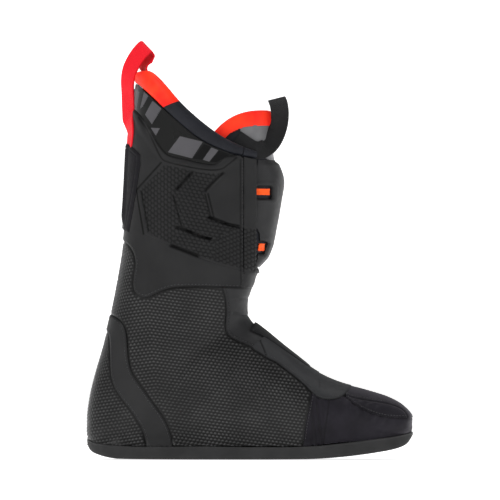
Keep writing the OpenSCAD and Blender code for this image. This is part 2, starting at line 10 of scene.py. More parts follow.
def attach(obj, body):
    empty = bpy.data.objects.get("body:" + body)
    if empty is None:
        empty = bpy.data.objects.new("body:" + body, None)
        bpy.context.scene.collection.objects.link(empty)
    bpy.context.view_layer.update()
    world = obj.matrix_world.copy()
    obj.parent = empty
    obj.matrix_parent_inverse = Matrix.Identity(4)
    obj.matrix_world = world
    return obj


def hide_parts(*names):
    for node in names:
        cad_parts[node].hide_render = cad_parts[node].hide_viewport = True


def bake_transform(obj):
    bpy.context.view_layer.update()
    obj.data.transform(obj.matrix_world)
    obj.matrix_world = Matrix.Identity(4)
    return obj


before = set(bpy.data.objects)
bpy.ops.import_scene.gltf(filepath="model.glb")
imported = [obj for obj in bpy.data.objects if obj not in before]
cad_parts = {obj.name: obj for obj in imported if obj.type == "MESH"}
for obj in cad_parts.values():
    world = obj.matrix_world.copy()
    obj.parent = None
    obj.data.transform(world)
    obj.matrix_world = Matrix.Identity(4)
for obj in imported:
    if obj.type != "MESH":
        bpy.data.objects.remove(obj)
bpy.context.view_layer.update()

MM = 0.001

# ---------------------------------------------------------------- surfaces
# The same sections as in the CAD model, in millimetres: front x, front z, rear x, rear z,
# half width, centre y, rear power, front power.
BALL, HEEL, CUFF = 50.0, 39.0, 54.0
SECTIONS = np.array([
    [141, 31, 141, 23.5, 17, 6, 0.7, 0.7],
    [136, 44.5, 135.5, 21, 34, 5, 0.5, 0.8],
    [122, 53.5, 121, 19.3, 0.84 * BALL, 4, 0.45, 0.8],
    [102, 60, 101, 17, 0.94 * BALL, 2, 0.42, 0.85],
    [78, 66.5, 76, 14, BALL, 0, 0.4, 0.9],
    [56, 77, 50, 11.5, 0.99 * BALL, -1, 0.4, 0.9],
    [33, 94, 16, 11, 0.91 * BALL, -1, 0.4, 0.95],
    [15, 108.5, -20, 11, 0.84 * BALL, 0, 0.4, 1],
    [4, 117, -62, 11, HEEL, 0, 0.42, 0.95],
    [-1, 123, -108, 11.5, HEEL, 0, 0.5, 0.85],
    [-2.3, 128, -138, 15, HEEL, 0, 0.62, 0.8],
    [-2.6, 133, -142.3, 32, 1.03 * HEEL, 0, 0.7, 0.75],
    [-2, 140, -138.5, 61, 1.08 * HEEL, 0, 0.72, 0.7],
    [2, 152, -127.5, 101, 1.14 * HEEL, 0, 0.75, 0.62],
    [9, 166, -119, 138, 0.89 * CUFF, 0, 0.75, 0.56],
    [17, 188, -112, 176, 0.94 * CUFF, 0, 0.75, 0.5],
    [21, 215, -108, 214, 0.98 * CUFF, 0, 0.75, 0.5],
    [22, 245, -105.5, 262, CUFF, 0, 0.75, 0.5],
    [22, 275, -102, 310, CUFF, 0, 0.75, 0.5],
    [22, 305, -98, 350, CUFF, 0, 0.75, 0.5],
])
LAST_SECTION = len(SECTIONS) - 1

# Front of the tongue under its plate, and the rear edge of its wings, at the same stations
TONGUE_FRONT = np.array([
    [5, 165.5], [13, 178], [18.5, 192], [22, 208], [25, 226], [27, 243], [21.5, 259],
    [19.5, 272], [20.5, 284], [20, 294], [17, 303],
])
TONGUE_REAR = np.array([
    [-12, 167], [-20, 178], [-27, 192], [-32, 208], [-36, 226], [-39, 243], [-41, 256],
    [-41, 265], [-39, 272], [-35, 278], [-30, 283.5],
])
LAST_STATION = len(TONGUE_FRONT) - 1

SKIN_T = 1.6        # how deep a skin reaches under the surface
OVERLAY_T = 1.1     # how far straps, cuff and covers stand proud
FLAP_T = 2.8        # thickness of a cuff flap
FOLD_X = -5.85      # rear edge of the flaps, where the cuff folds
FLAP_X = 5.6        # front edge of the flaps
FAR = 99.0          # stands for a distance beyond reach
SIDES = ((-1, "lateral"), (1, "medial"))


def spline(rows, u):
    """Smooth curve through the rows of a list, for u from 0 to 1."""
    rows = np.asarray(rows, float)
    n = len(rows) - 1
    s = np.clip(np.asarray(u, float), 0, 1) * n
    i = np.minimum(s.astype(int), n - 1)
    f = (s - i)[..., None]
    a, b = rows[np.maximum(i - 1, 0)], rows[i]
    c, d = rows[i + 1], rows[np.minimum(i + 2, n)]
    return b + 0.5 * f * ((c - a) + f * ((2 * a - 5 * b + 4 * c - d) + f * (3 * (b - c) + d - a)))


def skin(row, turn, rise=0.0):
    """Point of the liner's outer skin. turn is 0 at the rear, 90 medial, 180 in front."""
    row, turn, rise = np.broadcast_arrays(row, turn, rise)
    s = spline(SECTIONS, row / LAST_SECTION)
    angle = np.radians(turn)
    span = s[..., 0:2] - s[..., 2:4]
    length = np.linalg.norm(span, axis=-1)
    along = span / length[..., None]
    reach = length / 2 + rise
    power = s[..., 6] + (s[..., 7] - s[..., 6]) * (1 - np.cos(angle)) / 2
    sine = np.sin(angle)
    y = s[..., 5] + np.sign(sine) * (s[..., 4] + rise) * np.abs(sine) ** power
    middle = (s[..., 0:2] + s[..., 2:4]) / 2
    xz = middle - along * (reach * np.cos(angle))[..., None]
    toe_shift = rise * np.maximum(0, 1 - row)
    return np.stack([xz[..., 0] + toe_shift, y, xz[..., 1]], -1)


def tongue_half_w(z):
    low = 21 + 13.5 * np.sin(np.radians(90 * (z - 165) / 25))
    high = 34.5 + 4 * np.sin(np.radians(90 * np.clip((z - 190) / 30, 0, 1)))
    return np.where(z < 190, low, high)


def tongue(row, turn, rise=0.0):
    """Point of the tongue's outer skin. turn is -1 at the lateral wing and 0 in front."""
    row, turn, rise = np.broadcast_arrays(row, turn, rise)
    f = spline(TONGUE_FRONT, row / LAST_STATION)
    r = spline(TONGUE_REAR, row / LAST_STATION)
    share = np.abs(turn)
    nose = np.radians(90 * np.minimum(1, share / 0.6))
    wing = np.maximum(0, share - 0.6) / 0.4
    bend_x = np.minimum(2, f[..., 0] - 4)
    x = bend_x + (f[..., 0] + rise - bend_x) * np.cos(nose) + (r[..., 0] - bend_x) * wing
    along = np.clip((f[..., 0] - x) / (f[..., 0] - r[..., 0]), 0, None)
    z = f[..., 1] + (r[..., 1] - f[..., 1]) * along ** 3
    y = np.sign(turn) * (tongue_half_w(f[..., 1]) + rise) * np.sin(nose) ** 0.85
    return np.stack([x, y, z], -1)


def walked(points):
    """Length along a path at each of its points, from 0."""
    return np.concatenate([[0], np.cumsum(np.linalg.norm(np.diff(points, axis=0), axis=1))])


def even_rows(place, ends, turns, step):
    """Row values whose points lie about step apart along the longest of some turns."""
    fine = np.linspace(ends[0], ends[1], 3000)
    walks = [np.linalg.norm(np.diff(place(fine, turn), axis=0), axis=1) for turn in turns]
    walk = np.concatenate([[0], np.cumsum(np.max(walks, axis=0))])
    count = int(walk[-1] / step) + 1
    return np.interp(np.linspace(0, walk[-1], count), walk, fine)


def even_turns(place, rows, ends, count, wraps):
    """Turn values that share each row's length evenly."""
    fine = np.linspace(ends[0], ends[1], 1441)
    points = place(rows[:, None], fine[None, :])
    walk = np.cumsum(np.linalg.norm(np.diff(points, axis=1), axis=2), axis=1)
    walk = np.concatenate([np.zeros((len(rows), 1)), walk], axis=1)
    share = np.linspace(0, 1, count + 1)[:-1] if wraps else np.linspace(0, 1, count)
    return np.array([np.interp(share * w[-1], w, fine) for w in walk])


class Grid:
    """Dense points over a surface, with outward normals and side-view places."""

    def __init__(self, place, ends, turn_ends, step, count, wraps, guides):
        self.wraps = wraps
        self.place = place
        self.rows = even_rows(place, ends, guides, step)
        self.turns = even_turns(place, self.rows, turn_ends, count, wraps)
        self.points = place(self.rows[:, None], self.turns)
        down = np.gradient(self.points, axis=0)
        if wraps:
            padded = np.concatenate([self.points[:, -1:], self.points, self.points[:, :1]], 1)
            across = (padded[:, 2:] - padded[:, :-2]) / 2
        else:
            across = np.gradient(self.points, axis=1)
        normal = np.cross(down, across)
        self.normals = normal / np.maximum(np.linalg.norm(normal, axis=2), 1e-9)[..., None]
        self.x = self.points[..., 0]
        self.y = self.points[..., 1]
        self.z = self.points[..., 2]

    def faces(self):
        """Corner indices of every face, as an array of rows by columns by four."""
        r, c = self.x.shape
        i = np.arange(r - 1)[:, None]
        j = np.arange(c if self.wraps else c - 1)[None, :]
        after = (j + 1) % c
        return np.stack([i * c + j, (i + 1) * c + j, (i + 1) * c + after, i * c + after], -1)

    def middles(self):
        """Middle points of the faces."""
        return self.points.reshape(-1, 3)[self.faces()].mean(axis=2)


# ------------------------------------------------------------ plane figures
def smooth(line, times=2, closed=False):
    """Cuts the corners of an outline so that it runs in a curve."""
    line = np.asarray(line, float)
    for _ in range(times):
        ahead = np.roll(line, -1, axis=0)
        near, far = 0.75 * line + 0.25 * ahead, 0.25 * line + 0.75 * ahead
        if closed:
            line = np.stack([near, far], 1).reshape(-1, 2)
        else:
            inner = np.stack([near[:-1], far[:-1]], 1).reshape(-1, 2)
            line = np.vstack([line[:1], inner[1:-1], line[-1:]])
    return line


def nearest_on(x, z, line, closed=False):
    """Distance to an outline and the nearest point on it."""
    line = np.asarray(line, float)
    ends = np.vstack([line, line[:1]]) if closed else line
    best = np.full(np.shape(x), 1e9)
    near_x, near_z = np.zeros(np.shape(x)), np.zeros(np.shape(x))
    for (ax, az), (bx, bz) in zip(ends[:-1], ends[1:]):
        dx, dz = bx - ax, bz - az
        size = dx * dx + dz * dz
        if size < 1e-12:
            continue
        t = np.clip(((x - ax) * dx + (z - az) * dz) / size, 0, 1)
        px, pz = ax + t * dx, az + t * dz
        d = np.hypot(x - px, z - pz)
        closer = d < best
        best = np.where(closer, d, best)
        near_x, near_z = np.where(closer, px, near_x), np.where(closer, pz, near_z)
    return best, near_x, near_z


def gap_to(x, z, line, closed=False):
    return nearest_on(x, z, line, closed)[0]


def inside(x, z, outline):
    """True where a point lies inside a closed outline."""
    ends = np.vstack([outline, outline[:1]])
    odd = np.zeros(np.shape(x), bool)
    for (ax, az), (bx, bz) in zip(ends[:-1], ends[1:]):
        if az == bz:
            continue
        crosses = (az > z) != (bz > z)
        odd ^= crosses & (x < (bx - ax) * (z - az) / (bz - az) + ax)
    return odd


def at_x(x, line):
    """Height of a side-view line at x."""
    line = np.asarray(line, float)
    return np.interp(x, line[:, 0], line[:, 1])


def unit(v):
    return v / np.maximum(np.linalg.norm(v, axis=-1), 1e-9)[..., None]


def ease(low, high, value):
    t = np.clip((value - low) / (high - low), 0, 1)
    return t * t * (3 - 2 * t)


def slash(x, z, line, width, depth):
    """A groove that fades towards its two ends."""
    line = np.asarray(line, float)
    d, px, pz = nearest_on(x, z, line)
    ends = np.minimum(np.hypot(px - line[0, 0], pz - line[0, 1]),
                      np.hypot(px - line[-1, 0], pz - line[-1, 1]))
    return -depth * (1 - ease(0, 1, d / (width / 2))) * ease(0, 3, ends + 0.6)


def cells(u, v, wide, tall):
    """Nearest and second nearest distance to the centres of a staggered lattice."""
    first = np.full(np.shape(u), 9.0)
    second = first.copy()
    base = np.floor(v / tall)
    for dj in (-1, 0, 1):
        j = base + dj
        shift = 0.5 * wide * (j % 2)
        nearest = np.round((u - shift) / wide)
        for di in (-1, 0, 1):
            cu = (nearest + di) * wide + shift
            cv = (j + 0.5) * tall
            d = np.hypot((u - cu) / wide, (v - cv) * 0.866 / tall)
            second = np.minimum(np.maximum(d, first), second)
            first = np.minimum(d, first)
    return first, second


def ripple(points, size, seed):
    """Slow pseudo-random swell from -1 to 1, for surfaces that are never quite even."""
    rng = np.random.default_rng(seed)
    total = np.zeros(points.shape[:-1])
    for _ in range(7):
        way = rng.normal(size=3)
        way /= np.linalg.norm(way) * size * rng.uniform(0.7, 1.6)
        total += np.sin(points @ way * 2 * math.pi + rng.uniform(0, 6.28))
    return total / 4


# -------------------------------------------------------------- mesh making
def mesh_object(name, verts, faces, smooth_angle=0.9):
    """Makes an object from points in millimetres and a list or array of faces."""
    mesh = bpy.data.meshes.new(name)
    verts = np.asarray(verts, float) * MM
    if isinstance(faces, np.ndarray):
        sides = faces.shape[1]
        mesh.vertices.add(len(verts))
        mesh.vertices.foreach_set("co", verts.astype(np.float32).ravel())
        mesh.loops.add(faces.size)
        mesh.loops.foreach_set("vertex_index", faces.astype(np.int32).ravel())
        mesh.polygons.add(len(faces))
        mesh.polygons.foreach_set("loop_start", np.arange(0, faces.size, sides, dtype=np.int32))
        mesh.update(calc_edges=True)
        mesh.validate()
    else:
        mesh.from_pydata([tuple(v) for v in verts], [], faces)
        mesh.update()
    mesh.polygons.foreach_set("use_smooth", np.ones(len(mesh.polygons), bool))
    if smooth_angle:
        mesh.set_sharp_from_angle(angle=smooth_angle)
    obj = bpy.data.objects.new(name, mesh)
    bpy.context.scene.collection.objects.link(obj)
    return obj


def add_attribute(obj, name, values):
    layer = obj.data.attributes.new(name, "FLOAT", "POINT")
    layer.data.foreach_set("value", np.asarray(values, np.float32))


def rim_pairs(faces, count):
    """Start and stop points of the border edges of some four-cornered faces."""
    starts = faces.ravel()
    stops = np.roll(faces, -1, axis=1).ravel()
    border = ~np.isin(starts * count + stops, stops * count + starts)
    return starts[border], stops[border]


def closed_faces(faces, starts, stops, count):
    """Upper faces, the lower faces count points later, and the walls between them."""
    walls = np.stack([stops, starts, starts + count, stops + count], -1)
    return np.vstack([faces, faces[:, ::-1] + count, walls])


def tube_faces(rings, sides):
    """Faces of a tube whose points run ring by ring."""
    i = np.arange(rings - 1)[:, None]
    j = np.arange(sides)[None, :]
    after = (j + 1) % sides
    quads = np.stack([i * sides + j, i * sides + after, (i + 1) * sides + after, (i + 1) * sides + j], -1)
    return quads.reshape(-1, 4)


def capped_tube(rings, sides):
    """Faces of a tube with one face over each end, as lists."""
    faces = [list(map(int, q)) for q in tube_faces(rings, sides)]
    return faces + [list(range(sides - 1, -1, -1)), [(rings - 1) * sides + k for k in range(sides)]]


def add_uv(obj, places):
    """Gives every point its own place in a UV map."""
    uv = obj.data.uv_layers.new(name="UVMap")
    loops = np.zeros(len(obj.data.loops), np.int32)
    obj.data.loops.foreach_get("vertex_index", loops)
    uv.data.foreach_set("uv", places[loops].astype(np.float32).ravel())


def shell(name, grid, keep, rise, under, outline=None, painted_shade=None, snap=1.3):
    """Closed piece of a grid: the faces in keep, raised by rise and closed underneath.

    Border points are drawn onto the side-view outline, so the edge runs clean."""
    faces = grid.faces()[keep]
    used, faces = np.unique(faces, return_inverse=True)
    faces = faces.reshape(-1, 4)
    points = grid.points.reshape(-1, 3)[used].copy()
    normals = grid.normals.reshape(-1, 3)[used]
    lift = np.broadcast_to(rise, grid.x.shape).reshape(-1)[used]
    drop = np.broadcast_to(under, grid.x.shape).reshape(-1)[used]
    count = len(used)
    starts, stops = rim_pairs(faces, count)
    rim = np.unique(np.concatenate([starts, stops]))
    if outline is not None:
        d, px, pz = nearest_on(points[rim, 0], points[rim, 2], outline, True)
        near = d < snap
        points[rim[near], 0] = px[near]
        points[rim[near], 2] = pz[near]
    top = points + normals * lift[:, None]
    low = points + normals * drop[:, None]
    obj = mesh_object(name, np.vstack([top, low]), closed_faces(faces, starts, stops, count))
    if painted_shade is None:
        painted_shade = np.zeros(grid.x.shape)
    # The shade attribute carries painted shade: the material darkens the colour where it nears -1.
    value = painted_shade.reshape(-1)[used]
    add_attribute(obj, "painted_shade", np.concatenate([value, np.zeros(count)]))
    return obj


def sweep(name, centres, side, up, halves_side, halves_up, ring=20, power=1.0, round_ends=True, lean=None):
    """Padded bar along a path: a rounded section between two axes, with domed ends."""
    centres = np.asarray(centres, float)
    n = len(centres)
    walk = walked(centres)
    from_end = np.minimum(walk, walk[-1] - walk)
    halves_side = np.broadcast_to(halves_side, n).astype(float)
    halves_up = np.broadcast_to(halves_up, n).astype(float)
    if round_ends:
        reach = np.minimum(halves_side, halves_up)
        t = np.clip(1 - from_end / reach, 0, 1)
        dome = np.sqrt(np.maximum(1 - t * t, 0.0004))
        halves_side, halves_up = halves_side * dome, halves_up * dome
    angle = np.linspace(0, 2 * math.pi, ring, endpoint=False)
    ca, sa = np.cos(angle), np.sin(angle)
    ca = np.sign(ca) * np.abs(ca) ** power
    sa = np.sign(sa) * np.abs(sa) ** power
    points = (centres[:, None] + side[:, None] * (halves_side[:, None] * ca)[..., None]
              + up[:, None] * (halves_up[:, None] * sa)[..., None])
    if lean is not None:
        ahead = unit(np.gradient(centres, axis=0))
        points = points + ahead[:, None] * (lean[:, None] * sa * halves_up[:, None])[..., None]
    obj = mesh_object(name, points.reshape(-1, 3), capped_tube(n, ring))
    add_uv(obj, np.stack([np.repeat(walk, ring), np.tile(np.arange(ring), n)], -1) * [MM, 1 / ring])
    fix_outward(obj)
    return obj


def fix_outward(obj):
    """Turns a closed mesh's faces outward if its volume comes out negative."""
    mesh = obj.data
    mesh.calc_loop_triangles()
    co = np.zeros(len(mesh.vertices) * 3)
    mesh.vertices.foreach_get("co", co)
    co = co.reshape(-1, 3)
    tri = np.zeros(len(mesh.loop_triangles) * 3, np.int32)
    mesh.loop_triangles.foreach_get("vertices", tri)
    a, b, c = (co[tri.reshape(-1, 3)[:, k]] for k in range(3))
    if np.einsum("ij,ij->i", a, np.cross(b, c)).sum() < 0:
        mesh.flip_normals()


# ---------------------------------------------------------------- materials
def new_material(name):
    material = bpy.data.materials.new(name)
    material.use_nodes = True
    tree = material.node_tree
    shader = tree.nodes["Principled BSDF"]
    return material, tree, shader


def node(tree, kind, **settings):
    made = tree.nodes.new(kind)
    for key, value in settings.items():
        if key in made.inputs:
            made.inputs[key].default_value = value
        else:
            setattr(made, key, value)
    return made


def colour_mix(tree, factor, low, high):
    """Mix of two colours by a socket or node output."""
    mix = node(tree, "ShaderNodeMix", data_type="RGBA")
    mix.inputs["A"].default_value = (*low, 1)
    mix.inputs["B"].default_value = (*high, 1)
    tree.links.new(factor, mix.inputs["Factor"])
    return mix.outputs["Result"]


def spread(tree, value, low, high, to_low, to_high):
    """Maps a range of one value to another."""
    made = node(tree, "ShaderNodeMapRange")
    for key, number in (("From Min", low), ("From Max", high), ("To Min", to_low), ("To Max", to_high)):
        made.inputs[key].default_value = number
    tree.links.new(value, made.inputs["Value"])
    return made.outputs["Result"]


def noise(tree, scale, detail=2.0):
    where = node(tree, "ShaderNodeTexCoord")
    made = node(tree, "ShaderNodeTexNoise", Scale=scale, Detail=detail, Roughness=0.5)
    tree.links.new(where.outputs["Object"], made.inputs["Vector"])
    return made.outputs["Fac"]


def bumps(tree, shader, layers):
    """Chains bump nodes: layers holds (height socket, strength, distance in metres)."""
    last = None
    for height, strength, distance in layers:
        made = node(tree, "ShaderNodeBump", Strength=strength, Distance=distance)
        tree.links.new(height, made.inputs["Height"])
        if last is not None:
            tree.links.new(last, made.inputs["Normal"])
        last = made.outputs["Normal"]
    tree.links.new(last, shader.inputs["Normal"])


def painted_valley_shade(tree, colour, darkest):
    """Painted shade: multiplies a colour by darkest where a surface's shade attribute is -1, in its valleys,
    grooves and seams.
    """
    painted_shade = node(tree, "ShaderNodeAttribute", attribute_name="painted_shade")
    shade = spread(tree, painted_shade.outputs["Fac"], -1, 0, darkest, 1)
    deepen = node(tree, "ShaderNodeMix", data_type="RGBA", blend_type="MULTIPLY")
    deepen.inputs["Factor"].default_value = 1
    grey = node(tree, "ShaderNodeCombineColor")
    for channel in ("Red", "Green", "Blue"):
        tree.links.new(shade, grey.inputs[channel])
    tree.links.new(colour, deepen.inputs["A"])
    tree.links.new(grey.outputs["Color"], deepen.inputs["B"])
    return deepen.outputs["Result"]


def uneven_roughness(tree, shader, scale, detail, low, high):
    rough = spread(tree, noise(tree, scale, detail), 0.3, 0.7, low, high)
    tree.links.new(rough, shader.inputs["Roughness"])


def moulded(name, dark, light, roughness, grain=1800.0, specular=0.16, valley_shade=0.1):
    """Moulded foam rubber: fine grain, soft blotches, and painted shade that darkens the valleys of its
    relief.
    """
    material, tree, shader = new_material(name)
    blotch = noise(tree, 45.0, 3.0)
    colour = colour_mix(tree, spread(tree, blotch, 0.35, 0.65, 0, 1), dark, light)
    tree.links.new(painted_valley_shade(tree, colour, valley_shade), shader.inputs["Base Color"])
    uneven_roughness(tree, shader, 240.0, 4.0, roughness - 0.05, roughness + 0.07)
    shader.inputs["Specular IOR Level"].default_value = specular
    bumps(tree, shader, [(noise(tree, grain, 2.0), 0.35, 0.00004),
                         (noise(tree, 160.0, 3.0), 0.2, 0.0003)])
    return material


def cloth(name, dark, light, roughness, thread, sheen=0.3, depth=0.00008, tint=(1, 1, 1)):
    """Woven or knitted cloth: crossed fine threads, a soft sheen, uneven dye, and painted shade in the
    valleys of its relief.
    """
    material, tree, shader = new_material(name)
    where = node(tree, "ShaderNodeTexCoord")
    knit = node(tree, "ShaderNodeTexVoronoi", Scale=thread, Randomness=0.35)
    tree.links.new(where.outputs["Object"], knit.inputs["Vector"])
    blotch = noise(tree, 60.0, 3.0)
    colour = colour_mix(tree, spread(tree, blotch, 0.3, 0.7, 0, 1), dark, light)
    tree.links.new(painted_valley_shade(tree, colour, 0.3), shader.inputs["Base Color"])
    uneven_roughness(tree, shader, 300.0, 3.0, roughness - 0.06, roughness + 0.06)
    shader.inputs["Specular IOR Level"].default_value = 0.16
    shader.inputs["Sheen Weight"].default_value = sheen
    shader.inputs["Sheen Roughness"].default_value = 0.4
    shader.inputs["Sheen Tint"].default_value = (*tint, 1)
    bumps(tree, shader, [(knit.outputs["Distance"], 0.5, depth),
                         (noise(tree, 350.0, 3.0), 0.2, 0.0002)])
    return material


def webbing(name, dark, light, roughness, sheen):
    """Woven tape: ribs across its length and finer threads along it."""
    material, tree, shader = new_material(name)
    where = node(tree, "ShaderNodeTexCoord")
    rib = node(tree, "ShaderNodeTexWave", Scale=620.0, Distortion=0.6)
    rib.bands_direction = "X"
    rib.inputs["Detail Scale"].default_value = 2.0
    tree.links.new(where.outputs["UV"], rib.inputs["Vector"])
    strand = node(tree, "ShaderNodeTexWave", Scale=14.0, Distortion=0.4)
    strand.bands_direction = "Y"
    tree.links.new(where.outputs["UV"], strand.inputs["Vector"])
    mixed = node(tree, "ShaderNodeMath", operation="MULTIPLY")
    tree.links.new(rib.outputs["Fac"], mixed.inputs[0])
    tree.links.new(spread(tree, strand.outputs["Fac"], 0, 1, 0.6, 1), mixed.inputs[1])
    colour = colour_mix(tree, mixed.outputs["Value"], dark, light)
    tree.links.new(colour, shader.inputs["Base Color"])
    uneven_roughness(tree, shader, 300.0, 3.0, roughness - 0.05, roughness + 0.05)
    shader.inputs["Specular IOR Level"].default_value = 0.16
    shader.inputs["Sheen Weight"].default_value = sheen
    bumps(tree, shader, [(mixed.outputs["Value"], 0.6, 0.00018),
                         (noise(tree, 900.0, 2.0), 0.2, 0.0001)])
    return material


MATERIALS = {made.name.split(".")[0]: made for made in (
    moulded("rubber_sole", (0.018, 0.018, 0.0185), (0.025, 0.025, 0.0255), 0.6),
    moulded("textured_upper", (0.05, 0.05, 0.0505), (0.075, 0.075, 0.0755), 0.34, specular=0.18,
            valley_shade=0.06),
    moulded("smooth_overlay", (0.014, 0.014, 0.0145), (0.018, 0.018, 0.0185), 0.5),
    moulded("neck_fabric", (0.017, 0.017, 0.018), (0.022, 0.022, 0.023), 0.48, 2600.0),
    moulded("instep_eva", (0.02, 0.0205, 0.022), (0.025, 0.0255, 0.027), 0.48),
    moulded("cuff_eva", (0.0135, 0.0135, 0.014), (0.017, 0.017, 0.0175), 0.46, specular=0.12, valley_shade=0.05),
    moulded("shin_plastic", (0.019, 0.019, 0.02), (0.025, 0.025, 0.026), 0.45),
    cloth("neoprene", (0.006, 0.0052, 0.0078), (0.0115, 0.010, 0.0145), 0.7, 1500.0, 0.12, 0.00008,
          (0.75, 0.7, 0.8)),
    cloth("collar_fabric", (0.008, 0.0085, 0.0115), (0.013, 0.014, 0.0185), 0.6, 2200.0, 0.06, 0.00004,
          (0.7, 0.75, 0.85)),
    cloth("red_fabric", (0.78, 0.010, 0.006), (1.0, 0.04, 0.010), 0.5, 2400.0, 0.0, 0.00004, (1, 0.6, 0.5)),
    cloth("grey_satin", (0.1, 0.1, 0.105), (0.15, 0.15, 0.155), 0.35, 2400.0, 0.05, 0.00003),
    cloth("lining", (0.012, 0.012, 0.0135), (0.022, 0.022, 0.024), 0.85, 1400.0, 0.1, 0.00015),
    cloth("bar_tack", (0.12, 0.12, 0.125), (0.2, 0.2, 0.205), 0.6, 2000.0),
    cloth("orange_ribbon", (0.85, 0.07, 0.006), (1.0, 0.12, 0.012), 0.5, 2000.0, 0.0, 0.00004, (1, 0.7, 0.4)),
    webbing("red_webbing", (0.62, 0.002, 0.012), (1.0, 0.012, 0.025), 0.6, 0.0),
    webbing("black_webbing", (0.003, 0.003, 0.0035), (0.009, 0.009, 0.01), 0.55, 0.03),
    cloth("foam", (0.07, 0.07, 0.075), (0.1, 0.1, 0.105), 0.9, 900.0, 0.1, 0.0003),
    cloth("board", (0.24, 0.2, 0.15), (0.32, 0.28, 0.21), 0.9, 1200.0, 0.1, 0.0002),
)}


def glossy_film(name, base, roughness):
    """Printed film: smooth and shiny, with faint scuffs."""
    material, tree, shader = new_material(name)
    low = tuple(0.85 * c for c in base)
    colour = colour_mix(tree, spread(tree, noise(tree, 60.0, 3.0), 0.3, 0.7, 0, 1), low, base)
    tree.links.new(colour, shader.inputs["Base Color"])
    uneven_roughness(tree, shader, 40.0, 3.0, roughness - 0.04, roughness + 0.08)
    shader.inputs["Specular IOR Level"].default_value = 0.15
    bumps(tree, shader, [(noise(tree, 60.0, 2.0), 0.1, 0.0004)])
    return material


MATERIALS["glossy_print"] = glossy_film("glossy_print", (0.006, 0.0062, 0.006), 0.3)
SLEEVE_CLOTH = cloth("sleeve_cloth", (0.003, 0.0027, 0.004), (0.006, 0.0054, 0.0076), 0.7, 1800.0, 0.0)
PRINT_GREY = glossy_film("print_grey", (0.075, 0.073, 0.079), 0.42)
PRINT_BLACK = glossy_film("print_black", (0.0006, 0.0006, 0.0008), 0.6)


def finish_piece(obj, slot_name, body, *nodes, material=None):
    """Gives a piece its material, looked up by slot name unless one is passed, hides the CAD nodes it stands
    for, and attaches it to its body.
    """
    obj.data.materials.clear()
    obj.data.materials.append(material or MATERIALS[slot_name])
    if nodes:
        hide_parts(*nodes)
    if body:
        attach(obj, body)
    return obj


# -------------------------------------------------------------- seam lines
CUFF_LOW = smooth([
    [-135, 192], [-112, 191.5], [-108.5, 189], [-104, 185], [-100.5, 178], [-99.5, 170], [-101.3, 160],
    [-102, 152], [-100.5, 146], [-96, 142], [-90.5, 140.5], [-85.5, 142.5], [-78.5, 146],
    [-70, 149.3], [-61, 150.5], [-43.5, 150.5], [-26, 150], [-1.5, 149], [12, 148.5],
])
NECK_REAR = smooth([
    [-24.5, 150], [-21.3, 141], [-20.5, 128], [-22, 115], [-19, 107.5], [-8.5, 102], [1.5, 97.5],
])
COVER_LOW = smooth([
    [1.5, 97.5], [4.5, 94.5], [8.5, 92.5], [15.5, 87.5], [22, 85], [30.5, 78.5], [39.5, 71.5],
    [48, 64.5], [54.5, 57.5], [60.5, 53.3], [68, 52], [77, 53], [83, 56], [90, 64],
])
STRAP_FRONT = smooth([
    [-140, 131], [-121.5, 126.5], [-115, 122.5], [-110, 117], [-107.5, 109], [-107, 99], [-106, 86],
    [-103, 75], [-97.5, 67.5], [-85, 49.5], [-76, 37.5], [-70, 25], [-66, 8],
])
STRAP_REAR = smooth([
    [-140, 119], [-124, 112.5], [-121.8, 104], [-121.5, 77.5], [-119.5, 65.5], [-112, 53], [-105, 44.5],
    [-98, 34], [-92.5, 23.5], [-89.5, 8],
])
TOE_REAR = smooth([[45.8, 5], [46.5, 16], [48, 29], [51, 44], [52.5, 52], [53.5, 58.8]])
WINDOW = smooth([
    [-13.5, 264.8], [-20.5, 264.3], [-25.5, 259.8], [-31.5, 256.5], [-44, 258.5], [-57, 261.8],
    [-69, 264], [-74.5, 268], [-80, 275.5], [-86.5, 286], [-92, 295.5], [-97, 302], [-103, 307], [-125, 312],
])
COLLAR_TOP = smooth([
    [-120, 336], [-97, 338.5], [-91, 339.3], [-81.5, 332.5], [-67.5, 317], [-53.5, 303.5],
    [-39.5, 291.5], [-24.5, 281], [-8, 273], [7, 268],
])
COLLAR_LOW = smooth([
    [-120, 330], [-101, 328.5], [-96, 324.5], [-80.5, 309.5], [-67.5, 298], [-48, 281],
    [-35, 273.5], [-22, 268.3], [-9, 264.5], [7, 262],
])


def chain(*parts):
    """Joins lines into one closed outline."""
    return np.vstack([np.asarray(p, float).reshape(-1, 2) for p in parts])


UPPER = chain([[-66, 5]], STRAP_FRONT[::-1][:-1], [[-140, 131], [-140, 192]], CUFF_LOW[:-12], NECK_REAR,
              COVER_LOW, TOE_REAR[::-1])
HEEL_PANEL = chain([[-160, 0]], [[-89.5, 0]], STRAP_REAR[::-1], [[-160, 124]])
HEEL_STRAP = chain(STRAP_FRONT, [[-66, 5], [-89.5, 5]], STRAP_REAR[::-1])
NECK = chain(NECK_REAR, [[2.3, 98.4], [12, 106.7], [30, 112], [30, 149], [-13, 150.2]])
COVER = chain(COVER_LOW, [[95, 80], [30, 112], [13, 106.9], [2.3, 98.2]])
TOE_EDGE = smooth([[83, 56], [86, 52], [94, 46.5], [102, 42], [114, 38], [127, 36.3], [150, 36]])
TOE_LOW = chain(TOE_REAR, [[60.5, 53.3], [68, 52], [77, 53]], TOE_EDGE, [[150, 0], [45.8, 0]])
TOE_TOP = chain(TOE_EDGE, [[160, 36], [160, 72], [90, 66]])
CUFF = chain(CUFF_LOW, [[12, 148.5], [12, 162.7], [-5.85, 162.7], [-5.85, 262], [-9, 264.4]], WINDOW,
             [[-140, 312], [-140, 192]])
PANEL = chain(WINDOW, [[-125, 330]], COLLAR_LOW[:-10])
FLAP = np.array([[-5.55, 162.9], [7.7, 162.9], [5.6, 170], [5.6, 261], [-5.55, 263.5]])

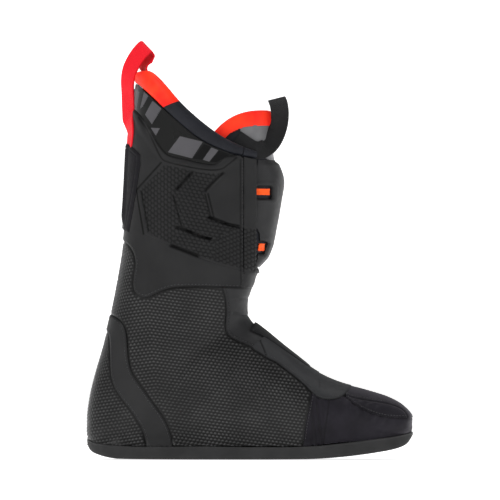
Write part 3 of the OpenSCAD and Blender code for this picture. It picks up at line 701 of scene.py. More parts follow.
TEXTURE = np.array([
    [-75, 257], [-96, 235], [-90, 197.5], [-78.5, 191.5], [-67.5, 187], [-43.5, 177], [-28.5, 171.5],
    [-8, 166], [9, 162], [9, 201.5], [-6, 202.5], [-19, 206], [-33.5, 212], [-39, 232.5], [-24.5, 248.5],
    [-17, 252.5], [-26, 250], [-43.5, 251], [-70, 257],
])
TEXTURE_BORDER = [[-77, 258.5], [-98, 235], [-92, 196.5], [-78.5, 190.5], [-67.5, 186], [-43.5, 176],
                  [-28.5, 170.5], [-8, 165], [6, 161.5]]
CHEVRON = [[-49, 251], [-64, 235], [-66, 230], [-58.5, 203], [-64.5, 195], [-67, 186]]


def near_line(grid, line, reach, closed=False):
    """Distance from grid points to a side-view line; 99 beyond reach."""
    line = np.asarray(line, float)
    low, high = line.min(axis=0) - reach, line.max(axis=0) + reach
    box = (grid.x > low[0]) & (grid.x < high[0]) & (grid.z > low[1]) & (grid.z < high[1])
    out = np.full(grid.x.shape, FAR)
    out[box] = gap_to(grid.x[box], grid.z[box], line, closed)
    return out


def grooved(grid, line, width, depth):
    return -depth * (1 - ease(0, width / 2, near_line(grid, line, width)))


def painted_shade_line(distance, depth, start, stop):
    """Painted shade that is -depth within start of a line and 0 beyond stop; the material darkens the colour
    there.
    """
    return -depth * (1 - ease(start, stop, distance))


def slashed(grid, line, width, depth):
    """Deep cut that narrows to nothing at both ends."""
    line = np.asarray(line, float)
    box = near_line(grid, line, width) < width
    out = np.zeros(grid.x.shape)
    out[box] = slash(grid.x[box], grid.z[box], line, width, depth)
    return out


# ------------------------------------------------------------ the foot's skin
def capped(row, turn, rise=0.0):
    """The skin, with its toe end closed by rows from -1 to 0."""
    row = np.asarray(row, float)
    point = skin(np.maximum(row, 0), turn, rise)
    centre = np.array([141.0, 6.0, 27.25])
    k = np.clip(1 + row, 0, 1)
    k = np.broadcast_to(k, point.shape[:-1])[..., None]
    shrunk = centre + (point - centre) * k
    shrunk[..., 0:1] += 1.2 * (1 - k ** 2)
    return np.where(k < 1, shrunk, point)


# Top line of the outsole in side view, and the discs whose hull is its outline from above
SOLE_TOP = np.array([
    [-142.6, 17.2], [-136, 14.4], [-122, 12.4], [-100, 11.3], [-62, 11.4], [-40, 11.6], [0, 11],
    [35, 11], [61, 12.2], [87.5, 15.2], [114, 18.5], [127, 20.3], [142.6, 23.5],
])
ROUNDS = ((-105.5, 0, 37.0), (78.0, 0, 49.0), (103.5, 5, 39.0))


def hull_points(rounds, steps, inset=0.0):
    """Points on the hull of some discs, each given as centre x, centre y and radius."""
    way = np.linspace(0, 2 * math.pi, steps + 1)[:-1]
    reach = np.stack([cx * np.cos(way) + cy * np.sin(way) + r for cx, cy, r in rounds])
    discs = np.array(rounds)[reach.argmax(axis=0)]
    return discs[:, :2] + (discs[:, 2:] - inset) * np.stack([np.cos(way), np.sin(way)], -1)


def hull_rim(rounds, count=720):
    """Outline of the hull of some discs, evenly spaced, with its outward directions."""
    edge = hull_points(rounds, 4 * count)
    edge = np.vstack([edge, edge[:1]])
    walk = walked(edge)
    s = np.linspace(0, walk[-1], count + 1)[:-1]
    edge = np.stack([np.interp(s, walk, edge[:, k]) for k in (0, 1)], -1)
    ahead = np.roll(edge, -1, axis=0) - np.roll(edge, 1, axis=0)
    return edge, unit(np.stack([ahead[:, 1], -ahead[:, 0]], -1))


sole_rim, sole_out = hull_rim(ROUNDS)
SOLE_ANGLES = np.linspace(0, 2 * math.pi, 181)[:-1]


def filled_out(row, turn, rise=0.0):
    """The skin with its lower corners pushed out to just inside the sole's rim."""
    point = capped(row, turn, rise).copy()
    base = at_x(point[..., 0], SOLE_TOP)
    t = (point[..., 2] - base) / 24
    low = t < 1
    x, y = point[low][:, 0], point[low][:, 1]
    depth, way = np.full(len(x), FAR), np.zeros((len(x), 2))
    for a in SOLE_ANGLES:
        c, d = math.cos(a), math.sin(a)
        gap = max(cx * c + cy * d + r for cx, cy, r in ROUNDS) - x * c - y * d
        closer = gap < depth
        depth = np.where(closer, gap, depth)
        way[closer] = (c, d)
    pull = (1 - np.clip(t[low], 0, 1)) ** 1.3 * (1 - ease(20, 31, depth))
    move = np.clip(depth - 0.6, 0, None) * pull
    point[low, :2] += way * move[:, None]
    blunt = 2.0 * np.exp(-((point[..., 2] - 37) / 5.5) ** 2) * ease(126, 139, point[..., 0])
    point[..., 0] += blunt
    return point


G = Grid(filled_out, (-1, LAST_SECTION), (0, 360), 0.72, 480, True, [0, 90, 180, 270])
G.normals[0] = [1, 0, 0]
T = Grid(tongue, (0, LAST_STATION), (1, -1), 0.7, 230, False, [-1, -0.6, 0])

mx, my, mz = np.moveaxis(G.middles(), -1, 0)


def skin_piece(name, slot_name, body, node_name, outline, rise, painted_shade=None, under=-SKIN_T, side=0,
               snap=1.3, material=None):
    """Piece of the liner's skin inside a side-view outline, on one side or on both (0)."""
    keep = inside(mx, mz, outline)
    if side:
        keep = keep & (my * side > 0)
    obj = shell(name, G, keep, rise, under, outline, painted_shade, snap)
    return finish_piece(obj, slot_name, body, node_name, material=material)


def around(x, y, centre, radius):
    """Side-view x carried on round the back of the heel as an arc length."""
    behind = centre - radius * np.arctan2(-(x - centre), np.abs(y))
    return np.where(x > centre, x, behind)


def lattice(u, v, wide, tall):
    """Offset from the nearest centre of a staggered lattice, in the lattice's own units."""
    best = np.full(np.shape(u), FAR)
    du, dv = np.zeros(np.shape(u)), np.zeros(np.shape(u))
    base = np.floor(v / tall)
    for dj in (-1, 0, 1):
        j = base + dj
        shift = 0.5 * wide * (j % 2)
        cu = np.round((u - shift) / wide) * wide + shift
        a, b = u - cu, v - (j + 0.5) * tall
        d = (a / wide) ** 2 + (b / tall) ** 2
        closer = d < best
        best = np.where(closer, d, best)
        du, dv = np.where(closer, a, du), np.where(closer, b, dv)
    return du, dv


# Small rounded triangles in rows that slope down from a kink above the heel
heel_u = around(G.x, G.y, -100.0, 38.0)
kink = -87.5 + (112.5 - G.z) * 0.114
row_v = G.z + 0.14 * np.abs(heel_u - kink)
du, dv = lattice(heel_u, row_v, 3.35, 2.8)
triangle = np.maximum(-dv * 1.15, 0.6 * dv + 0.62 * np.abs(du))
bump = (1 - ease(0.15, 1.1, 0.6 * triangle + 0.4 * np.hypot(0.72 * du, dv))) * (0.8 + 0.2 * (dv - 0.3 * du))
bump = np.clip(bump, 0, 1)
swell = ripple(G.points, 45.0, 3)

upper_edge = near_line(G, UPPER, 4, True)
upper_fade = ease(0.8, 2.6, upper_edge)
upper_rise = 0.75 * bump * upper_fade - 0.35 * (1 - ease(0, 1.4, upper_edge)) + 0.12 * swell
# Painted shade: darker between the bumps and along the panel's edges, and lighter on the taller side of each
# bump as a painted highlight.
upper_painted_shade = np.minimum(bump * upper_fade - 1, 0)

for side, word in SIDES:
    skin_piece(f"upper_{word}_skin", "textured_upper", "liner", f"upper_{word}", UPPER, upper_rise,
               upper_painted_shade, side=side)

heel_edge = near_line(G, STRAP_REAR, 4)
heel_fade = ease(0.8, 2.6, heel_edge)
heel_rise = 0.75 * bump * heel_fade - 0.35 * (1 - ease(0, 1.4, heel_edge)) + 0.1 * swell
# The panel's painted shade darkens between its bumps and along the strap's edge.
skin_piece("heel_panel_skin", "textured_upper", "liner", "heel_panel", HEEL_PANEL, heel_rise,
           np.minimum(bump * heel_fade - 1, 0))

strap_edge = np.minimum(near_line(G, STRAP_FRONT, 4), near_line(G, STRAP_REAR, 4))
strap_rise = OVERLAY_T * ease(-0.5, 1.5, strap_edge) + 0.12 * swell
# Painted shade along the strap's edges.
skin_piece("heel_strap_skin", "smooth_overlay", "liner", "heel_strap", HEEL_STRAP, strap_rise,
           painted_shade_line(strap_edge, 0.9, 0, 0.9))

neck_edge = near_line(G, NECK_REAR, 4)
neck_rise = 0.75 * ease(-0.4, 1.5, neck_edge) - 0.1 + 0.25 * swell
neck_rise += grooved(G, [[-24, 141], [30, 141]], 4, 0.5) * ease(-26, -5, G.x)
neck_rise += grooved(G, [[-15, 127.5], [-8, 126.5], [6, 124]], 3.5, 0.6)
neck_line = np.minimum(neck_edge, near_line(G, CUFF_LOW, 4))
# Painted shade in the seams round the panel, and a dark line along the stitch row.
neck_painted_shade = np.minimum(painted_shade_line(neck_line, 0.9, 0.3, 1.2),
                         painted_shade_line(np.abs(neck_edge - 2.4), 0.6, 0.1, 0.7))
skin_piece("neck_panel_skin", "neck_fabric", "liner", "neck_panel", NECK, neck_rise, neck_painted_shade)

FOLD = [[8.5, 102.5], [11, 97], [14, 90.5]]
cover_edge = near_line(G, COVER_LOW, 4)
cover_rise = OVERLAY_T * ease(-0.5, 1.5, cover_edge) + 0.15 * swell + grooved(G, FOLD, 2.4, 0.55)
cover_rise += 0.5 * ease(0, 14, G.z - 0.62 * (52 - G.x) - 62) * (G.x < 60)
# Painted shade along the cover's lower edge and in its fold.
cover_painted_shade = np.minimum(painted_shade_line(cover_edge, 0.9, 0.2, 1.1), painted_shade_line(near_line(G, FOLD, 3), 0.9, 0.2, 1))
skin_piece("instep_cover_skin", "instep_eva", "liner", "instep_cover", COVER, cover_rise, cover_painted_shade)

# Neoprene round the toes, gathered under the top of the toe
TOE_SEAM = smooth([[69, 53], [68, 44], [66.5, 34], [65, 25], [64, 14]])
TOE_CAP_UP = smooth([[83, 56.5], [89, 53.5], [105, 50.8], [122.5, 48], [133, 43.5], [137, 38], [138, 30]])
gather = np.sin(0.62 * G.x - 0.25 * G.z + 1.3 * np.sin(0.11 * G.z + 0.3 * G.y * 0.1) + 2.2 * swell)
toe_edge = np.minimum(near_line(G, TOE_REAR, 4), near_line(G, TOE_EDGE, 4))
toe_rise = 0.35 * swell - 0.45 * (1 - ease(0, 1.6, toe_edge)) + grooved(G, TOE_SEAM, 1.8, 0.45)
pleat = ease(50, 54, G.x) * (1 - ease(62, 66, G.x))
pleat_wave = np.sin(2 * math.pi * (G.x + 0.12 * G.z) / 5.2)
toe_rise += 0.7 * pleat * pleat_wave
under_seam = 1 - ease(2, 13, near_line(G, TOE_EDGE, 14))
toe_rise += 0.6 * under_seam * gather * ease(70, 76, G.x) * (1 - ease(110, 130, G.x))
# Painted shade along the seams, and in stripes across the pleats, darkest on their crests.
toe_painted_shade = painted_shade_line(np.minimum(toe_edge, near_line(G, TOE_SEAM, 3)), 0.8, 0.1, 1.1)
toe_painted_shade = toe_painted_shade - 0.6 * pleat * (0.5 + 0.5 * pleat_wave)
skin_piece("toe_box_skin", "neoprene", "liner", "toe_box", TOE_LOW, toe_rise, toe_painted_shade)

cap_edge = near_line(G, TOE_EDGE, 4)
cap_rise = 0.45 * ease(-0.4, 1.6, cap_edge) + 0.2 * swell + grooved(G, TOE_CAP_UP, 1.9, 0.6)
between = ease(1, 3, near_line(G, TOE_CAP_UP, 30)) * inside(G.x, G.z, chain(TOE_EDGE, TOE_CAP_UP[::-1]))
cap_rise += 0.7 * between * gather * (1 - ease(104, 118, G.x))
# Painted shade along the cap's seams.
cap_painted_shade = painted_shade_line(np.minimum(cap_edge, near_line(G, TOE_CAP_UP, 3)), 0.8, 0.1, 1.1)
skin_piece("toe_cap_skin", "neoprene", "liner", "toe_cap_top", TOE_TOP, cap_rise, cap_painted_shade)

# ------------------------------------------------------------- the cuff's skin
back_u = around(G.x, G.y, -62.0, 50.0)


def studs(u, v, wide, tall):
    """Height from 0 to 1 of small raised studs in a staggered lattice."""
    first, second = cells(u, v, wide, tall)
    return (1 - ease(0.16, 0.62, first)) * ease(0.0, 0.2, second - first)


def cuff_pattern(grid, u):
    """Rise of the cuff's moulded pattern, and painted shade that darkens the colour between its studs."""
    x, z = grid.x, grid.z
    bounds = inside(x, z, TEXTURE)
    edge = near_line(grid, TEXTURE, 3, True)
    area = bounds * ease(0.2, 1.6, edge)
    left = inside(x, z, chain([[-200, 300], [-200, 150], [-66, 150]], CHEVRON[::-1], [[-45, 300]]))
    low_front = inside(x, z, np.array([[-31, 190], [-31, 150], [20, 150], [20, 203], [-12, 204]]))
    columns = studs(z + 0.12 * x, u, 4.4, 3.1)
    scales = studs(x - 0.1 * z, z + 0.18 * x, 4.2, 3.1)
    braid = studs(z + 0.25 * x, x, 3.8, 3.0)
    height = np.where(left, columns, np.where(low_front, braid, scales))
    return 0.7 * (height - 1) * area, 0.8 * (height - 1) * area


# Lines pressed into the cuff
BESIDE_CHEVRON = [[-66.5, 229.5], [-59.5, 203.5]]
BESIDE_WINDOW = [[-39, 231], [-34.5, 212]]
IN_WINDOW = [[-36.5, 231.5], [-31.5, 211]]
REAR_LINE = [[-94, 234], [-88, 200]]
RIM_LINE = smooth([[-96, 298], [-87.5, 285], [-80.5, 270], [-76, 261], [-70, 258.5], [-43.5, 252.8],
                   [-26, 251.8], [-19, 257], [-12, 263]])
cuff_rise, cuff_painted_shade = cuff_pattern(G, back_u)
cuff_rise = cuff_rise + OVERLAY_T + 0.1 * swell
for line, width, depth in (
    (TEXTURE_BORDER, 1.5, 0.4), (REAR_LINE, 1.4, 0.4), (BESIDE_CHEVRON, 1.5, 0.5),
    ([[-64.5, 231.5], [-57.5, 205.5]], 1.3, 0.35), (BESIDE_WINDOW, 1.6, 0.6), (IN_WINDOW, 1.5, 0.5),
    ([[-6, 202.3], [-19, 205.8]], 1.3, 0.35), (RIM_LINE, 1.6, 0.5),
):
    cuff_rise += grooved(G, line, width, depth)
slashes = np.zeros(G.x.shape)
for line in (
    [[-49, 251.5], [-56.5, 243.5], [-64.5, 234.5]],
    [[-65.5, 203], [-57, 200.5], [-43.5, 194.5], [-32, 191.5]],
    [[-70, 187.2], [-56, 182], [-43, 176.8]],
    [[-22, 250.5], [-31, 242], [-39.5, 233.2]],
    [[-37.5, 211.5], [-33, 210.2], [-18, 204.5], [-8, 202.6]],
):
    slashes = np.minimum(slashes, slashed(G, line, 5.0, 1.7))
cuff_rise += slashes
# Painted shade in the slashes.
cuff_painted_shade = np.minimum(cuff_painted_shade, slashes * 0.7)
cuff_low_line, window_line = near_line(G, CUFF_LOW, 3), near_line(G, WINDOW, 3)
# Painted shade along the pressed lines, the vertical groove, the rim line and the cuff's lower and window
# edges.
for painted_shade in (
    *(painted_shade_line(near_line(G, line, 2), 1.0, 0.3, 1.2)
      for line in (BESIDE_CHEVRON, BESIDE_WINDOW, IN_WINDOW, TEXTURE_BORDER[:3], REAR_LINE)),
    painted_shade_line(np.minimum(cuff_low_line, window_line), 0.9, 0, 1.3),
    painted_shade_line(np.abs(G.x + 8.6), 0.8, 0.2, 0.9) * (G.z < 262),
    painted_shade_line(near_line(G, RIM_LINE, 3), 0.85, 0.2, 1.0),
    painted_shade_line(window_line, 1.0, 0, 1.6),
):
    cuff_painted_shade = np.minimum(cuff_painted_shade, painted_shade)
cuff_edge = np.minimum(near_line(G, CUFF_LOW, 4), near_line(G, WINDOW, 4))
cuff_rise -= 1.2 * (1 - ease(0, 1.7, cuff_edge))
rim = 1 - ease(0, 4.5, np.abs(near_line(G, WINDOW, 12) - 4.5))
cuff_rise += 0.5 * rim
fold = np.where(G.z > 162, np.abs(G.x - FOLD_X), FAR)
cuff_rise -= 0.7 * (1 - ease(0, 1.1, fold))
cuff_rise += grooved(G, [[-8.6, 262], [-8.6, 155]], 1.3, 0.35) * (G.x > -30)
cuff_rise -= 1.5 * ease(-4, 6, G.x) * ease(153, 160, G.z)

# Shapes printed on the collar panels
GREY_PRINTS = (
    [[-101.5, 327], [-96.5, 320], [-99, 305], [-102.5, 313.5]],
    [[-92.5, 320.5], [-88.5, 316.5], [-93.5, 307.5], [-96, 305.5]],
    [[-85, 312.5], [-77, 305.5], [-85.5, 292], [-91.5, 300.5]],
    [[-86.5, 289], [-78.5, 288.5], [-82, 282]],
    [[-61, 281.5], [-41, 276.6], [-50.5, 262.2], [-71.5, 267.6]],
    [[-33.5, 271.7], [-27.5, 269.2], [-35.5, 259.3], [-41, 261]],
)
BLACK_PRINTS = (
    [[-40, 274.5], [-33.8, 272.3], [-41.5, 261], [-50, 261.8]],
    [[-27, 269], [-17.5, 265.7], [-29, 258.9], [-34.8, 259]],
)

for side, word in SIDES:
    skin_piece(f"cuff_{word}_skin", "cuff_eva", "liner", f"cuff_{word}", CUFF, cuff_rise, cuff_painted_shade,
               side=side, snap=0.9)
    flap_edge = np.abs(G.x - FLAP_X) + 9 * (G.z < 172)
    flap_rise, flap_painted_shade = cuff_pattern(G, back_u)
    flap_rise = flap_rise + OVERLAY_T + 0.08 * swell
    flap_rise = flap_rise - 0.9 * (1 - ease(0, 1.3, flap_edge)) - 0.7 * (1 - ease(0, 1.1, fold))
    flap_rise = flap_rise + grooved(G, [[4.3, 300], [4.3, 150]], 0.9, 0.25)
    skin_piece(f"cuff_flap_{word}_skin", "cuff_eva", f"flap_{word}", f"cuff_flap_{word}", FLAP, flap_rise,
               flap_painted_shade, OVERLAY_T - FLAP_T, side, snap=0.9)
    skin_piece(f"collar_panel_{word}_film", "glossy_print", "liner", f"collar_panel_{word}", PANEL,
               -0.2 + 0.12 * swell, side=side)
    for k, block in enumerate(GREY_PRINTS + BLACK_PRINTS):
        skin_piece(f"collar_print_{word}_{k}", "glossy_print", "liner", f"collar_panel_{word}",
                   np.array(block, float), -0.1 + 0.12 * swell, None, -0.6, side, snap=1.0,
                   material=PRINT_GREY if k < len(GREY_PRINTS) else PRINT_BLACK)

# --------------------------------------------------------- collar, tips, loops
def rows_on_line(turns, line, low=15.0, high=19.6):
    """Rows between low and high at which the skin meets a side-view line, for each turn."""
    line = np.asarray(line, float)
    order = np.argsort(line[:, 0])
    lx, lz = line[order, 0], line[order, 1]
    a, b = np.full(len(turns), low), np.full(len(turns), high)
    for _ in range(40):
        m = (a + b) / 2
        p = skin(m, turns)
        under = p[:, 2] < np.interp(p[:, 0], lx, lz)
        a, b = np.where(under, m, a), np.where(under, b, m)
    return (a + b) / 2


def collar_path(turns, out, extra):
    """Centre, outward side and upward axis of the collar roll with its half height."""
    top, low = rows_on_line(turns, COLLAR_TOP), rows_on_line(turns, COLLAR_LOW)
    middle = (top + low) / 2
    p = skin(middle, turns)
    eps = 0.01
    d_row = skin(middle + eps, turns) - skin(middle - eps, turns)
    d_turn = skin(middle, turns + eps) - skin(middle, turns - eps)
    n = unit(np.cross(d_row, d_turn))
    centre = p + n * out
    tangent = unit(np.gradient(centre, axis=0))
    up = unit(np.cross(tangent, n))
    up = up * np.sign(up[:, 2:3])
    side = unit(np.cross(up, tangent))
    side = side * np.sign((side * n).sum(axis=1))[:, None]
    span = skin(top, turns) - skin(low, turns)
    half = np.abs((span * up).sum(axis=1)) / 2
    return centre, side, up, half + extra


def turn_at_x(x):
    """Turn, on the medial side, at which the middle of the collar has this x."""
    turns = np.linspace(0, 178, 500)
    line = (rows_on_line(turns, COLLAR_TOP) + rows_on_line(turns, COLLAR_LOW)) / 2
    return float(np.interp(x, skin(line, turns)[:, 0], turns))


t_red, t_gap, t_tip = turn_at_x(-69.5), turn_at_x(-6.1), turn_at_x(-5.4)
t_end = turn_at_x(5.9)


def roll(name, turns, slot_name, body, node_name, lean=None):
    centre, side_axis, up, half = collar_path(turns, -3.6, 0.2)
    wave = 1 + 0.02 * np.sin(np.arange(len(turns)) * 0.37)
    obj = sweep(name, centre, side_axis, up, 4.6 * wave, half, 28, 0.82, False, lean)
    finish_piece(obj, slot_name, body, node_name)
    return obj


near_seam = np.linspace(-1, 1, 150)
roll("collar_roll_rear_pad", np.linspace(-t_red, t_red, 150), "red_fabric", "liner", "collar_roll_rear",
     0.45 * np.sign(near_seam) * ease(0.6, 0.95, np.abs(near_seam)))
for side, word in SIDES:
    roll(f"collar_roll_{word}_pad", side * np.linspace(t_red + 0.12, t_gap, 110), "collar_fabric", "liner",
         f"collar_roll_{word}", 0.45 * (1 - ease(0, 0.3, np.linspace(0, 1, 110))))
    roll(f"collar_tip_{word}_pad", side * np.linspace(t_tip, t_end, 26), "collar_fabric", f"flap_{word}",
         f"collar_tip_{word}")


def ribbon(name, centres, across, normal, width, thick, edge=0.35):
    """Webbing: a flat band with softly rounded edges and a length-wise UV in metres."""
    centres = np.asarray(centres, float)
    n = len(centres)
    half, t = width / 2, thick / 2
    ring = [(-half, -t * 0.4), (-half + edge, -t), (-half * 0.5, -t), (0, -t), (half * 0.5, -t),
            (half - edge, -t), (half, -t * 0.4), (half, t * 0.4), (half - edge, t), (half * 0.5, t), (0, t),
            (-half * 0.5, t), (-half + edge, t), (-half, t * 0.4)]
    size = len(ring)
    verts = np.concatenate([centres[:, None] + across[:, None] * a + normal[:, None] * b
                            for a, b in ring], axis=1).reshape(-1, 3)
    obj = mesh_object(name, verts, capped_tube(n, size), 0.7)
    wide = np.array([a / width + 0.5 for a, b in ring])
    add_uv(obj, np.stack([np.repeat(walked(centres) * MM, size), np.tile(wide, n)], -1))
    fix_outward(obj)
    return obj


def even_path(points, count):
    """Smooth curve through points, sampled evenly."""
    curve = spline(points, np.linspace(0, 1, 600))
    walk = walked(curve)
    s = np.linspace(0, walk[-1], count)
    return np.stack([np.interp(s, walk, curve[:, k]) for k in range(curve.shape[1])], -1)


# Rear loop: one band from under the sleeve, over the top and down inside the collar,
# given by its far and near edges
LOOP_EDGES = np.array([
    [-110.2, 10, 205, -110.2, -10, 205], [-110, 10, 222, -110, -10, 222], [-109, 10, 240, -109, -10, 240],
    [-108.2, 9, 256, -108, -11, 256], [-107.6, 3, 267.5, -105, -17, 266.5],
    [-106.9, -3, 277.5, -102.8, -23, 276], [-106.3, -4.5, 286.5, -101.9, -24.4, 285.5],
    [-109, -1, 296.5, -101.9, -20.5, 295], [-111, 4, 306, -101.2, -14.5, 304],
    [-112, 8, 319, -101.4, -11, 317], [-112.8, 8.8, 332, -101, -10.2, 328],
    [-111.4, 8.6, 343, -98.8, -9.8, 336],
    [-107.5, 8.5, 352, -94.8, -9.4, 344], [-102, 8.4, 360, -90.2, -9, 350.5],
    [-96.2, 9, 365.5, -85.5, -8.2, 354.5], [-93.6, 12.2, 362.4, -83.6, -4.8, 351.5],
    [-95.6, 13.2, 356, -84.6, -4.6, 346.5], [-95.6, 12.6, 349.5, -86.4, -7, 342],
    [-94.4, 11.6, 344.6, -88.4, -9, 338], [-90.6, 10.6, 338.6, -88, -9.8, 332.5],
    [-88, 10, 331, -87.4, -10, 328], [-87.2, 10, 321, -87.2, -10, 321], [-86.6, 10, 311, -86.6, -10, 311],
    [-88, 10, 300, -88, -10, 300],
])
edges = even_path(LOOP_EDGES, 190)
centres = (edges[:, :3] + edges[:, 3:]) / 2
tangent = unit(np.gradient(centres, axis=0))
across = edges[:, :3] - edges[:, 3:]
across = unit(across - tangent * (across * tangent).sum(axis=1)[:, None])
obj = ribbon("rear_loop_band", centres, across, unit(np.cross(tangent, across)), 20.5, 1.7)
finish_piece(obj, "red_webbing", None, "rear_pull_loop", "rear_loop_tails")
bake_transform(obj)

# Tongue loop: an arch over the tongue's top whose feet lie flat on its sides
LOOP_LEG = np.array([[-12, 0, 279.5], [-4.5, 0, 274], [3, 0, 269.5], [10, 0, 270], [16.6, 32, 274.3],
                     [20.8, 30, 280], [23.8, 27.6, 287], [25.6, 24.6, 294.3], [26.1, 20.5, 302],
                     [25.2, 12.5, 309.5], [23.4, 0, 314.5]], float)
tongue_points, tongue_normals = T.points.reshape(-1, 3), T.normals.reshape(-1, 3)
near_half = np.flatnonzero(tongue_points[:, 1] > 0)
LOOP_FACE = np.zeros(LOOP_LEG.shape)
for k, (x, _, z) in enumerate(LOOP_LEG):
    tilt = math.radians(90 * ease(0.55, 1.0, k / 10))
    LOOP_FACE[k] = (-0.25 * math.sin(tilt), math.cos(tilt), math.sin(tilt))
    if k < 4:
        pick = near_half[np.hypot(tongue_points[near_half, 0] - x, tongue_points[near_half, 2] - z).argmin()]
        LOOP_LEG[k] = tongue_points[pick] + tongue_normals[pick] * 1.5
        LOOP_FACE[k] = tongue_normals[pick]


def mirrored(rows, s):
    leg = spline(rows, 1 - np.abs(2 * s - 1))
    leg[:, 1] *= np.where(s < 0.5, -1, 1)
    return leg


fine = np.linspace(0, 1, 1201)
walk = walked(mirrored(LOOP_LEG, fine))
share = np.interp(np.linspace(0, walk[-1], 161), walk, fine)
centres = mirrored(LOOP_LEG, share)
tangent = unit(np.gradient(centres, axis=0))
across = unit(np.cross(tangent, mirrored(LOOP_FACE, share)))
obj = ribbon("tongue_loop_band", centres, across, unit(np.cross(tangent, across)), 15.8, 1.5)
finish_piece(obj, "black_webbing", None, "tongue_pull_loop")
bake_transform(obj)


# Fabric patches laid on the skin
def patch(name, place, rows, turns, top, low, counts, crown=0.0):
    """Closed patch between two rises, crowned in the middle and thinned at its edges."""
    r = np.linspace(*rows, counts[0])
    t = np.linspace(*turns, counts[1])
    u = np.linspace(-1, 1, counts[0])[:, None]
    v = np.linspace(-1, 1, counts[1])[None, :]
    edge = np.minimum(1 - np.abs(u) ** 12, 1 - np.abs(v) ** 12)
    upper = low + (top - low) * (0.35 + 0.65 * edge) + crown * (1 - v ** 2)
    outer = place(r[:, None], t[None, :], upper)
    inner = place(r[:, None], t[None, :], np.full(upper.shape, low))
    n, m = counts
    i = np.arange(n - 1)[:, None]
    j = np.arange(m - 1)[None, :]
    quad = np.stack([i * m + j, (i + 1) * m + j, (i + 1) * m + j + 1, i * m + j + 1], -1).reshape(-1, 4)
    verts = np.vstack([outer.reshape(-1, 3), inner.reshape(-1, 3)])
    obj = mesh_object(name, verts, closed_faces(quad, *rim_pairs(quad, n * m), n * m))
    one = np.stack([np.repeat(r * 0.02, m), np.tile(np.linspace(0, 1, m), n)], -1)
    add_uv(obj, np.vstack([one, one]))
    fix_outward(obj)
    return obj


SLEEVE = np.array([[-125, 280], [-106.4, 276.8], [-94.5, 265.5], [-95, 255], [-97.5, 238], [-100.5, 220],
                   [-104.5, 198], [-111, 200.5], [-125, 204]])
sleeve_edge = near_line(G, SLEEVE, 5, True)
sleeve_rise = 2.1 + 2.3 * (1 - ease(9, 17, np.abs(G.y))) * ease(200, 214, G.z)
sleeve_rise = sleeve_rise - 0.7 * (1 - ease(0, 1.8, sleeve_edge)) + 0.25 * swell
sleeve_rise = sleeve_rise - 0.35 * (1 - ease(0, 0.7, np.abs(sleeve_edge - 3.0)))
skin_piece("rear_sleeve_cloth", "black_webbing", "liner", "rear_sleeve", SLEEVE, sleeve_rise, None, 1.15,
           material=SLEEVE_CLOTH)
obj = patch("sleeve_bar_tack_stitch", skin, (15.68, 15.8), (-8, 8), OVERLAY_T + 1.9, OVERLAY_T + 0.9,
            (10, 30))
finish_piece(obj, "bar_tack", "liner", "sleeve_bar_tack")


TAB_ROWS = (5.15, 8.1)


def tapered(row, turn, rise):
    """The skin, with turns drawn in towards the front so that the tab grows narrower."""
    return skin(row, 180 + (turn - 180) * np.interp(row, TAB_ROWS, [0.6, 1]), rise)


obj = patch("instep_tab_cloth", tapered, TAB_ROWS, (152, 208), OVERLAY_T + 1.7, OVERLAY_T + 0.3, (90, 60),
            0.3)
finish_piece(obj, "black_webbing", "liner", "instep_tab")

# --------------------------------------------------------------------- tongue
tx, ty, tz = np.moveaxis(T.middles(), -1, 0)
BIND_LOW = [[-60, 262], [-30, 276.3], [-22, 279.5], [-17.5, 284], [-10.5, 287.5], [-3.5, 290], [4.5, 291],
            [30, 290]]
bind_z, bind_mid = at_x(T.x, BIND_LOW), at_x(tx, BIND_LOW)


def tongue_piece(name, slot_name, node_name, keep, rise, under, painted_shade=None):
    """Piece laid on the tongue's outer surface."""
    finish_piece(shell(name, T, keep, rise, under, painted_shade=painted_shade), slot_name, "tongue", node_name)


body_rise = -0.3 + 0.25 * ripple(T.points, 30.0, 5)
tongue_piece("tongue_body", "collar_fabric", "tongue_foam", tz > 0, body_rise, -5.0)
tongue_piece("tongue_inside", "lining", "tongue_lining", tz > 0, -5.1, -6.2)
satin = (tz > np.interp(tx, [-8.5, 4.5, 8, 14, 17.5, 19, 40], [286.5, 274.3, 275, 278.5, 283, 286, 287]))
satin &= (tx > -8.5) & (tz < bind_mid + 1)
tongue_piece("tongue_satin_upper", "grey_satin", "tongue_facing", satin, 0.55, -0.3)
low_satin = np.array([[20, 274], [24, 270], [24, 257], [10.5, 264], [15.5, 268.5]])
tongue_piece("tongue_satin_lower", "grey_satin", "tongue_facing", inside(tx, tz, low_satin), 0.5, -0.3)
height = np.clip((T.z - bind_z) / np.maximum(T.points[-1:, :, 2] - bind_z, 1), 0, 1)
bind_rise = 0.7 + 1.1 * np.sqrt(np.clip(height * (1.25 - height) * 3, 0, 1)) * (height > 0)
tongue_piece("tongue_binding_fold", "red_fabric", "tongue_binding", tz > bind_mid, bind_rise, -6.4)
along_top = np.linspace(-0.995, 0.995, 160)
edge_path = tongue(np.full(160, 9.85), along_top, -2.6)
side_axis = unit(tongue(np.full(160, 9.85), along_top, -1.6) - edge_path)
tangent = unit(np.gradient(edge_path, axis=0))
up_axis = unit(np.cross(side_axis, tangent))
up_axis = up_axis * np.sign(up_axis[:, 2:3])
obj = sweep("tongue_binding_roll", edge_path, side_axis, up_axis, 4.2, 2.3, 24, 0.85)
finish_piece(obj, "red_fabric", "tongue", "tongue_binding")

